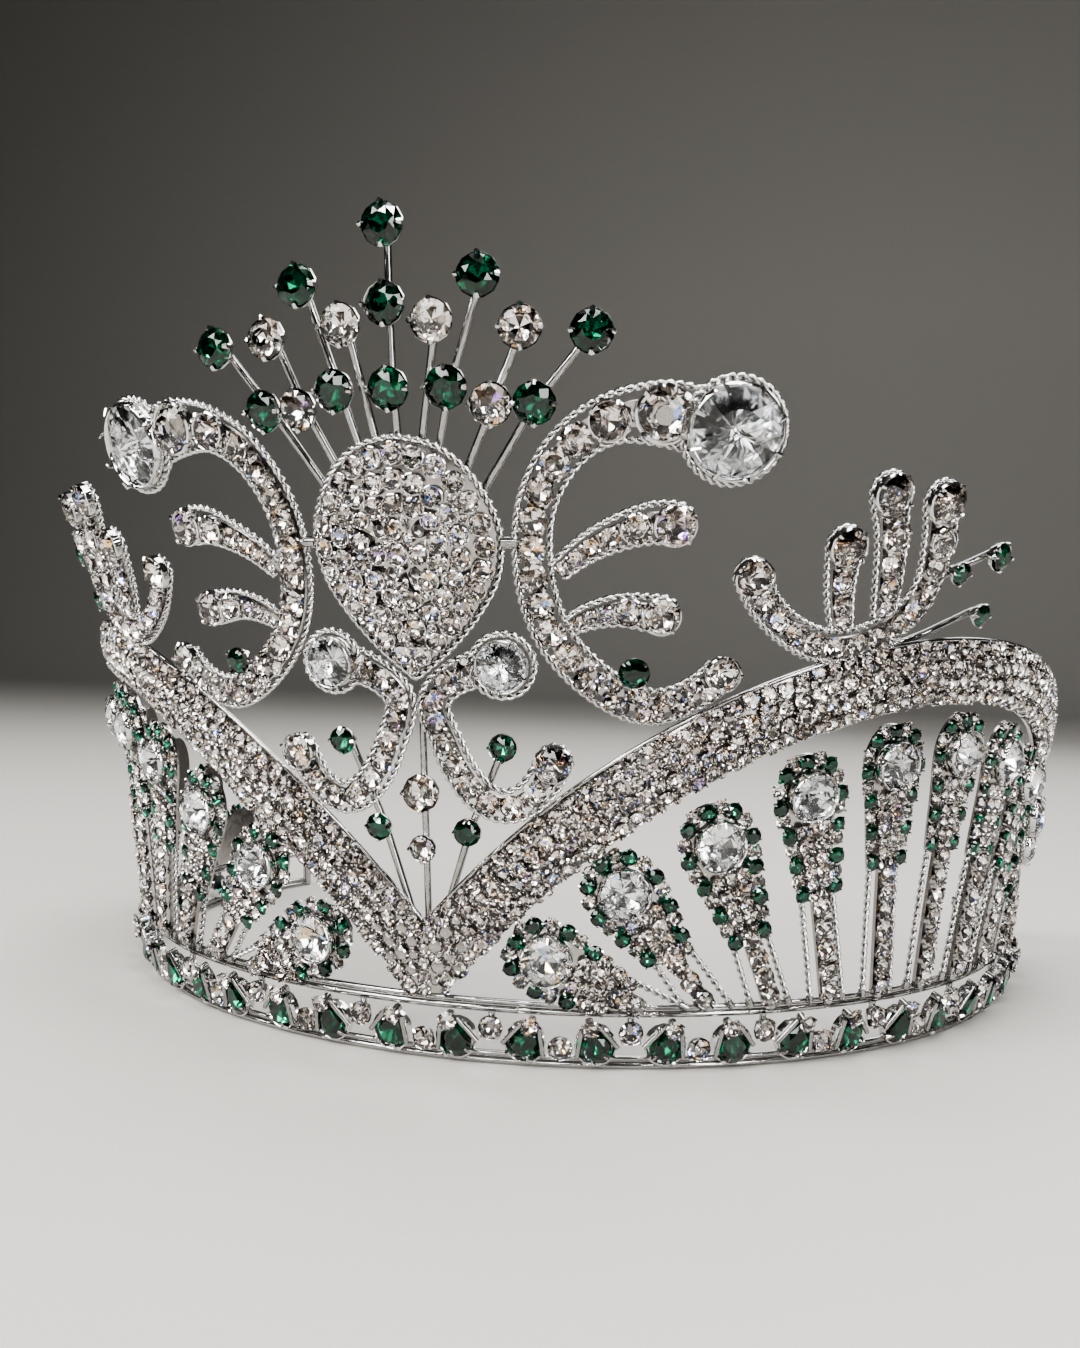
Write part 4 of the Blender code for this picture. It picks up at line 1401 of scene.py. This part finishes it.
@dataclass
class Band:
    """A scroll band: two twisted borders with stones between them over a narrow backing.

    Attributes:
        rows: Turn, height and half width along the band.
        round_start: Whether the border runs round the start.
        round_end: Whether the border runs round the end.
        fine_until: Share of the length that has two rows of small stones.
        large: Turn, height and radius of each large stone.
        run_to: Share of the length that is filled with stones.
    """

    rows: tuple[Triple, ...]
    round_start: bool = False
    round_end: bool = False
    fine_until: float = 0.0
    large: tuple[Triple, ...] = ()
    run_to: float = 1.0

    def build(self, bench: Bench, wall: Wall, side: float, drop: float = 0.0) -> None:
        """Build the band on the bench.

        Args:
            bench: Where the parts go.
            wall: The crown's wall.
            side: 1 on the wearer's left, -1 on the right.
            drop: Millimetres taken off every height.
        """
        track = Track(wall, [(turn, height - drop, half) for turn, height, half in self.rows], side)
        bench.plate(sweep(track, ((-0.55, -0.7), (0.55, -0.7), (0.55, -0.2), (-0.55, -0.2)), inset=0.0008))
        inset, out = 0.55 * MM, 0.1 * MM
        line = track.edge(1.0, inset, out)
        back = track.edge(-1.0, inset, out)[::-1]
        if self.round_end:
            line += track.tip(inset, out) + back
            if self.round_start:
                line += track.tip(inset, out, at_end=False)[::-1]
                line.append(line[0])
        bench.twist(line)
        if not self.round_end:
            bench.twist(back)
        self.stones(bench, wall, track, side, drop)

    def stones(self, bench: Bench, wall: Wall, track: Track, side: float, drop: float) -> None:
        """Set the large stones, and rows of small ones that close up between them."""
        fixed = [(track.nearest(wall.frame(turn * side, height - drop).point), radius * MM)
                 for turn, height, radius in self.large]
        for distance, radius in fixed:
            station = track.at(distance)
            bench.stone(station.shifted(0.0, 0.0014), station.normal, station.ahead, radius * 0.96,
                        mount=Mount.COLLET)
        stops = sorted([(0.0, 0.0), *fixed, (track.length * self.run_to, 0.0)])
        for (start, before), (end, after) in zip(stops, stops[1:]):
            if end - start - before - after > 1.2 * MM:
                self.fill(bench, track, start + before, end - after)

    def fill(self, bench: Bench, track: Track, start: float, end: float) -> None:
        """Fill a stretch of the band with stones that touch.

        Args:
            bench: Where the stones go.
            track: The band's track.
            start: Distance along the track where the stretch starts, in metres.
            end: Distance where it ends.
        """
        spots = []
        distance = start
        while distance < end:
            room = track.at(distance).half - 0.95 * MM
            double = distance < self.fine_until * track.length
            size = room * 0.6 if double else room
            spots.append((distance + size, size, double))
            distance += 2.0 * size
        if len(spots) > 1 and distance - end > spots[-1][1]:
            spots.pop()
            distance = spots[-1][0] + spots[-1][1]
        stretch = (end - start) / (distance - start)
        for index, (place, size, double) in enumerate(spots):
            station = track.at(start + (place - start) * stretch)
            size *= min(1.02, stretch)
            if not double:
                bench.stone(station.shifted(0.0, 0.0010), station.normal, station.ahead, size)
                continue
            for sign in (1.0, -1.0):
                shift = sign * (0.35 if index % 2 == 0 else -0.35) * size
                bench.stone(station.shifted(sign * size * 0.95, 0.0009) + station.ahead * shift, station.normal,
                            station.ahead, size)


@dataclass
class SideScroll:
    """The C-shaped scroll with its two fingers and its large round stone."""

    main: Band = field(default_factory=lambda: Band((
        (26.4, 55.0, 2.7), (25.0, 52.9, 2.6), (22.9, 51.0, 2.6), (20.4, 50.2, 2.7), (17.8, 51.4, 2.8),
        (15.0, 54.2, 2.8), (12.6, 58.0, 2.8), (11.1, 62.6, 2.8), (10.4, 68.0, 2.8), (10.5, 74.0, 2.8),
        (11.6, 79.0, 2.9), (13.6, 83.2, 3.1), (16.4, 85.8, 3.4), (19.7, 86.4, 4.2), (22.0, 85.8, 4.3)),
        round_start=True, fine_until=0.3, large=((26.4, 55.0, 2.4), (19.6, 86.4, 3.6), (15.9, 85.4, 2.6)),
        run_to=0.86))
    upper_finger: Band = field(default_factory=lambda: Band((
        (12.3, 67.4, 1.8), (14.5, 70.2, 2.2), (17.0, 72.3, 2.6), (19.5, 73.6, 3.0), (21.2, 73.6, 3.1)),
        round_end=True, large=((21.1, 73.6, 2.7), (18.2, 73.1, 2.0))))
    lower_finger: Band = field(default_factory=lambda: Band((
        (13.2, 60.4, 1.6), (15.0, 61.8, 2.0), (17.6, 62.7, 2.4), (20.8, 62.3, 2.8)), round_end=True,
        large=((20.7, 62.3, 2.5), (17.9, 62.7, 1.9))))
    green: Triple = (18.9, 54.6, 2.0)
    lug: Triple = (7.95, 9.2, 70.8)
    rivoli: Triple = (24.75, 84.9, 5.75)

    def build(self, wall: Wall, finishes: Finishes, label: str) -> list[bpy.types.Object]:
        """Build one side's scroll and its large stone."""
        side = SIDES[label]
        bench = Bench(f"c_scroll_{label}", finishes)
        for band in (self.main, self.upper_finger, self.lower_finger):
            band.build(bench, wall, side)
        turn, height, radius = self.green
        place = wall.frame(turn * side, height)
        bench.stone(place.off(0.8), place.normal, place.east, radius * MM, Tone.GREEN, mount=Mount.BASKET)
        bench.rod([wall.frame(turn * side, self.lug[2]).point for turn in self.lug[:2]], 0.0008)
        turn, height, radius = self.rivoli
        place = wall.frame(turn * side, height)
        bench.twist(place.circle(radius + 0.8, 0.8, 40))
        pieces = bench.finish([f"c_scroll_{label}"])
        stone = Bench(f"rivoli_{label}", finishes)
        stone.stone(place.off(2.1), place.normal, place.east, radius * MM, Tone.ICE, Cut.RIVOLI, Mount.BEZEL)
        return pieces + stone.finish([f"rivoli_{label}"])


@dataclass
class SScrolls:
    """The pair of S scrolls under the pear with their eye stones."""

    band: Band = field(default_factory=lambda: Band((
        (6.2, 55.0, 2.9), (3.6, 53.4, 2.6), (1.8, 51.0, 2.5), (1.6, 48.4, 2.5), (2.6, 44.8, 2.5), (3.6, 41.4, 2.6),
        (5.4, 37.8, 2.6), (7.6, 36.2, 2.6), (9.8, 37.1, 2.6), (11.3, 39.5, 2.7), (12.3, 42.4, 2.8)),
        round_end=True, large=((12.3, 42.4, 2.6),)))
    eye: Triple = (7.8, 55.2, 3.4)

    def build(self, wall: Wall, finishes: Finishes) -> list[bpy.types.Object]:
        """Build both scrolls and their eye stones."""
        bench = Bench("s_scrolls", finishes)
        stones = []
        turn, height, radius = self.eye
        for label, side in SIDES.items():
            self.band.build(bench, wall, side)
            place = wall.frame(turn * side, height)
            bench.twist(place.circle(radius + 0.9, 0.6, 32))
            eye = Bench(f"eye_stone_{label}", finishes)
            eye.stone(place.off(1.8), place.normal, place.east, radius * MM, Tone.ICE, Cut.RIVOLI, Mount.BEZEL)
            stones += eye.finish([f"eye_stone_{label}"])
        return bench.finish(["s_scrolls"]) + stones


@dataclass
class Spray:
    """A thin rod with round stones.

    Attributes:
        name: Name among the sprays of one sub-assembly.
        path: Turn and height of the rod's points.
        stones: Turn, height and radius of each stone.
        tone: Colour of the stones.
        rod_radius: Radius of the rod.
        rod_out: Distance of the rod outwards from the wall.
        stone_out: Distance of the stones outwards from the wall.
    """

    name: str
    path: tuple[Pair, ...]
    stones: tuple[Triple, ...]
    tone: Tone
    rod_radius: float = 0.52
    rod_out: float = -1.7
    stone_out: float = 0.35

    def build(self, bench: Bench, wall: Wall, side: float, drop: float = 0.0) -> None:
        """Build the spray on a bench."""
        line = [wall.frame(turn * side, height - drop).off(self.rod_out) for turn, height in self.path]
        bench.rod(line, self.rod_radius * MM)
        for turn, height, radius in self.stones:
            place = wall.frame(turn * side, height - drop)
            bench.stone(place.off(self.stone_out), place.normal, (place.east + place.up).normalized(), radius * MM,
                        self.tone, mount=Mount.BASKET)
            bench.rod([place.off(self.rod_out), place.off(self.stone_out - 0.8 * radius)], 0.0007)


@dataclass
class Fan:
    """The nine sprays above the pear."""

    stone_radius: float = 2.6
    rows: dict[str, tuple[tuple[Pair, ...], Tone]] = field(default_factory=lambda: {
        "centre": (((0.0, 77.0), (0.0, 89.1), (0.0, 99.1), (0.0, 108.4)), Tone.GREEN),
        "inner": (((1.3, 78.0), (3.4, 96.9)), Tone.CLEAR),
        "tall": (((2.6, 78.0), (4.3, 89.1), (6.7, 102.0)), Tone.GREEN),
        "middle": (((4.2, 75.5), (7.5, 87.1), (9.6, 96.0)), Tone.CLEAR),
        "outer": (((5.0, 73.0), (10.6, 87.2), (14.5, 95.6)), Tone.GREEN),
    })

    def build(self, wall: Wall, finishes: Finishes) -> list[bpy.types.Object]:
        """Build all the sprays."""
        pieces = []
        for name, (stops, tone) in self.rows.items():
            sides = {"": 1.0} if name == "centre" else {f"_{label}": side for label, side in SIDES.items()}
            for ending, side in sides.items():
                bench = Bench(f"fan_{name}{ending}", finishes)
                stones = tuple((turn, height, self.stone_radius) for turn, height in stops[1:])
                Spray(name, stops, stones, tone).build(bench, wall, side)
                pieces += bench.finish([f"fan_{name}{ending}"])
        return pieces


@dataclass
class NotchSprays:
    """The three sprays that rise from the front notch, with the solder at their feet."""

    centre: Spray = field(default_factory=lambda: Spray(
        "centre", ((0.0, 13.8), (0.0, 47.5)), ((0.0, 29.6, 1.85), (0.0, 37.4, 2.5)), Tone.CLEAR))
    outer: Spray = field(default_factory=lambda: Spray(
        "outer", ((0.5, 14.4), (4.4, 32.3), (7.7, 44.1)), ((4.4, 32.3, 1.85), (7.7, 44.1, 1.85)), Tone.GREEN))
    solder: tuple[Triple, ...] = ((0.15, 16.6, -0.2), (0.75, 19.4, -0.8))

    def build(self, wall: Wall, finishes: Finishes) -> list[bpy.types.Object]:
        """Build the sprays."""
        bench = Bench("notch_sprays", finishes)
        self.centre.build(bench, wall, 1.0)
        for side in SIDES.values():
            self.outer.build(bench, wall, side)
        for lean in (-1.0, 0.0, 1.0):
            bench.rod([wall.frame(lean * turn, height).off(out) for turn, height, out in self.solder], 0.0009)
        return bench.finish(["notch_sprays"])


@dataclass
class Crest:
    """The U-shaped crest over one side with its fingers and sprays."""

    drop: float = 1.2
    main: Band = field(default_factory=lambda: Band((
        (28.0, 68.8, 2.8), (29.5, 65.2, 2.5), (31.9, 62.2, 2.5), (34.9, 60.3, 2.6), (37.7, 60.3, 2.6),
        (40.4, 61.6, 2.6), (43.0, 64.2, 2.6), (44.6, 67.6, 2.6), (44.8, 71.8, 2.8), (44.3, 76.4, 3.1),
        (43.6, 79.8, 3.3)), round_start=True, round_end=True,
        large=((28.0, 68.8, 2.6), (43.6, 79.8, 2.9), (44.5, 74.9, 2.1))))
    short: Band = field(default_factory=lambda: Band((
        (36.9, 62.6, 2.1), (36.0, 67.5, 2.5), (35.5, 73.3, 3.0)), round_end=True, large=((35.5, 73.3, 2.7),)))
    long: Band = field(default_factory=lambda: Band((
        (40.9, 64.6, 2.2), (40.5, 69.0, 2.6), (39.6, 75.0, 2.8), (38.3, 80.2, 3.2)), round_end=True,
        large=((38.3, 80.2, 2.8), (39.6, 75.0, 2.1))))
    sprays: tuple[Spray, ...] = field(default_factory=lambda: (
        Spray("upper", ((44.0, 66.0), (47.0, 69.6), (52.9, 73.6)), ((48.4, 70.8, 1.6), (52.9, 73.6, 2.0)),
              Tone.GREEN),
        Spray("lower", ((42.0, 59.0), (47.5, 62.0), (53.0, 65.4)), ((53.0, 65.4, 1.6),), Tone.GREEN),
    ))

    def build(self, wall: Wall, finishes: Finishes, label: str) -> list[bpy.types.Object]:
        """Build one side's crest."""
        bench = Bench(f"crest_{label}", finishes)
        for band in (self.main, self.short, self.long):
            band.build(bench, wall, SIDES[label], self.drop)
        pieces = bench.finish([f"crest_{label}"])
        for spray in self.sprays:
            thin = Bench(f"crest_spray_{label}_{spray.name}", finishes)
            spray.build(thin, wall, SIDES[label], self.drop)
            pieces += thin.finish([f"crest_spray_{label}_{spray.name}"])
        return pieces


# Studio


@dataclass(frozen=True)
class Lamp:
    """A rectangular lamp that faces the crown: name, place and size in metres, power in watts, and colour."""

    name: str
    place: Triple
    size: Pair
    power: float
    colour: Triple = (1.0, 1.0, 1.0)

    def build(self) -> None:
        """Add the lamp."""
        data = bpy.data.lights.new(self.name, "AREA")
        data.shape = "RECTANGLE"
        data.size, data.size_y = self.size
        data.energy = self.power
        data.color = self.colour
        lamp = linked(self.name, data)
        lamp.location = self.place
        aim = Vector((0.0, 0.0, 0.05)) - Vector(self.place)
        lamp.rotation_euler = aim.to_track_quat("-Z", "Y").to_euler()


@dataclass
class Studio:
    """Camera, floor, backdrop and lights.

    Attributes:
        azimuth: Degrees of the camera round the crown from its front.
        elevation: Degrees of the camera above the target.
        roll: Degrees that the camera is turned about its own axis.
        distance: Metres from the target to the camera.
        target: The point looked at, from the hoop's axis.
        lens: Focal length in millimetres.
        glints: Number of small lamps that make the stones sparkle.
        bend: Where the floor starts to curve up, and the radius of the curve.
    """

    azimuth: float = 16.14
    elevation: float = 0.59
    roll: float = 1.657
    distance: float = 0.2528
    target: Triple = (-0.00788, -0.00142, 0.0532)
    lens: float = 33.38
    world: Triple = (0.03, 0.03, 0.03)
    glints: int = 26
    glint_power: float = 0.26
    glint_reach: float = 0.75
    bend: Pair = (1.6, 0.8)
    lamps: tuple[Lamp, ...] = (
        Lamp("key", (-0.42, -0.62, 0.66), (0.45, 0.45), 9.0, (1.0, 0.985, 0.96)),
        Lamp("fill", (0.62, -0.5, 0.24), (0.16, 0.5), 3.0),
        Lamp("front", (0.05, -1.1, 0.5), (0.5, 0.16), 3.0),
        Lamp("top", (0.05, 0.05, 0.8), (0.55, 0.3), 3.5),
        Lamp("rim", (0.15, 0.6, 0.5), (0.7, 0.18), 2.5),
        Lamp("floor_wash", (0.0, -0.1, 1.9), (1.6, 1.6), 6.0),
    )

    def camera(self, wall: Wall) -> None:
        """Place the camera at the photograph's angle."""
        azimuth, elevation, roll = (math.radians(a) for a in (self.azimuth, self.elevation, self.roll))
        back = Vector((math.sin(azimuth) * math.cos(elevation), -math.cos(azimuth) * math.cos(elevation),
                       math.sin(elevation)))
        right = (-back).cross(Vector((0.0, 0.0, 1.0))).normalized()
        up = right.cross(-back)
        turned = right * math.cos(roll) + up * math.sin(roll)
        tilted = up * math.cos(roll) - right * math.sin(roll)
        target = Vector(self.target) + Vector((0.0, wall.axis_y * MM, 0.0))
        data = bpy.data.cameras.new("camera")
        data.lens = self.lens
        data.sensor_width = 36.0
        data.clip_start = 0.01
        camera = linked("camera", data)
        basis = Matrix((turned, tilted, back)).transposed().to_4x4()
        camera.matrix_world = Matrix.Translation(target + back * self.distance) @ basis
        bpy.context.scene.camera = camera

    def backdrop(self) -> None:
        """Add the floor that curves up into the backdrop."""
        bm = bmesh.new()
        start, radius = self.bend
        angles = [math.radians(10.0 * k) for k in range(10)]
        rows = [(-3.0, 0.0), *((start + radius * math.sin(a), radius * (1.0 - math.cos(a))) for a in angles),
                (start + radius, 4.0)]
        verts = [[bm.verts.new((x, y, z)) for x in (-5.0, 5.0)] for y, z in rows]
        for low, high in zip(verts, verts[1:]):
            bm.faces.new((low[0], low[1], high[1], high[0]))
        floor = to_object("floor", bm, StudioFinish().make(), 60.0)

    def build(self, wall: Wall) -> None:
        """Build the studio."""
        self.camera(wall)
        self.backdrop()
        world = bpy.data.worlds.new("studio")
        world.use_nodes = True
        world.node_tree.nodes["Background"].inputs["Color"].default_value = (*self.world, 1.0)
        bpy.context.scene.world = world
        bpy.context.scene.view_settings.look = "AgX - Medium High Contrast"
        for lamp in self.lamps:
            lamp.build()
        for i in range(self.glints):
            turn = math.radians(-85.0 + 170.0 * ((i * 0.618) % 1.0))
            rise = math.radians(6.0 + 66.0 * (i + 0.5) / self.glints)
            flat = self.glint_reach * math.cos(rise)
            place = (flat * math.sin(turn), -flat * math.cos(turn), 0.05 + self.glint_reach * math.sin(rise))
            Lamp(f"glint_{i:02d}", place, (0.03, 0.03), self.glint_power).build()


def main() -> None:
    """Build the crown's looks round its frame."""
    logging.basicConfig(level=logging.INFO, format="%(message)s")
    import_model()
    wall = Wall()
    Studio().build(wall)
    finishes = Finishes()
    for assembly in (Gallery(), Pear(), SScrolls(), Fan(), NotchSprays()):
        assembly.build(wall, finishes)
    for label in SIDES:
        for assembly in (Ribbon(), Torches(), SideScroll(), Crest()):
            assembly.build(wall, finishes, label)
    for master in Bench.masters.values():
        bpy.data.objects.remove(master, do_unlink=True)
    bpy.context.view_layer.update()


if __name__ == "__main__":
    main()
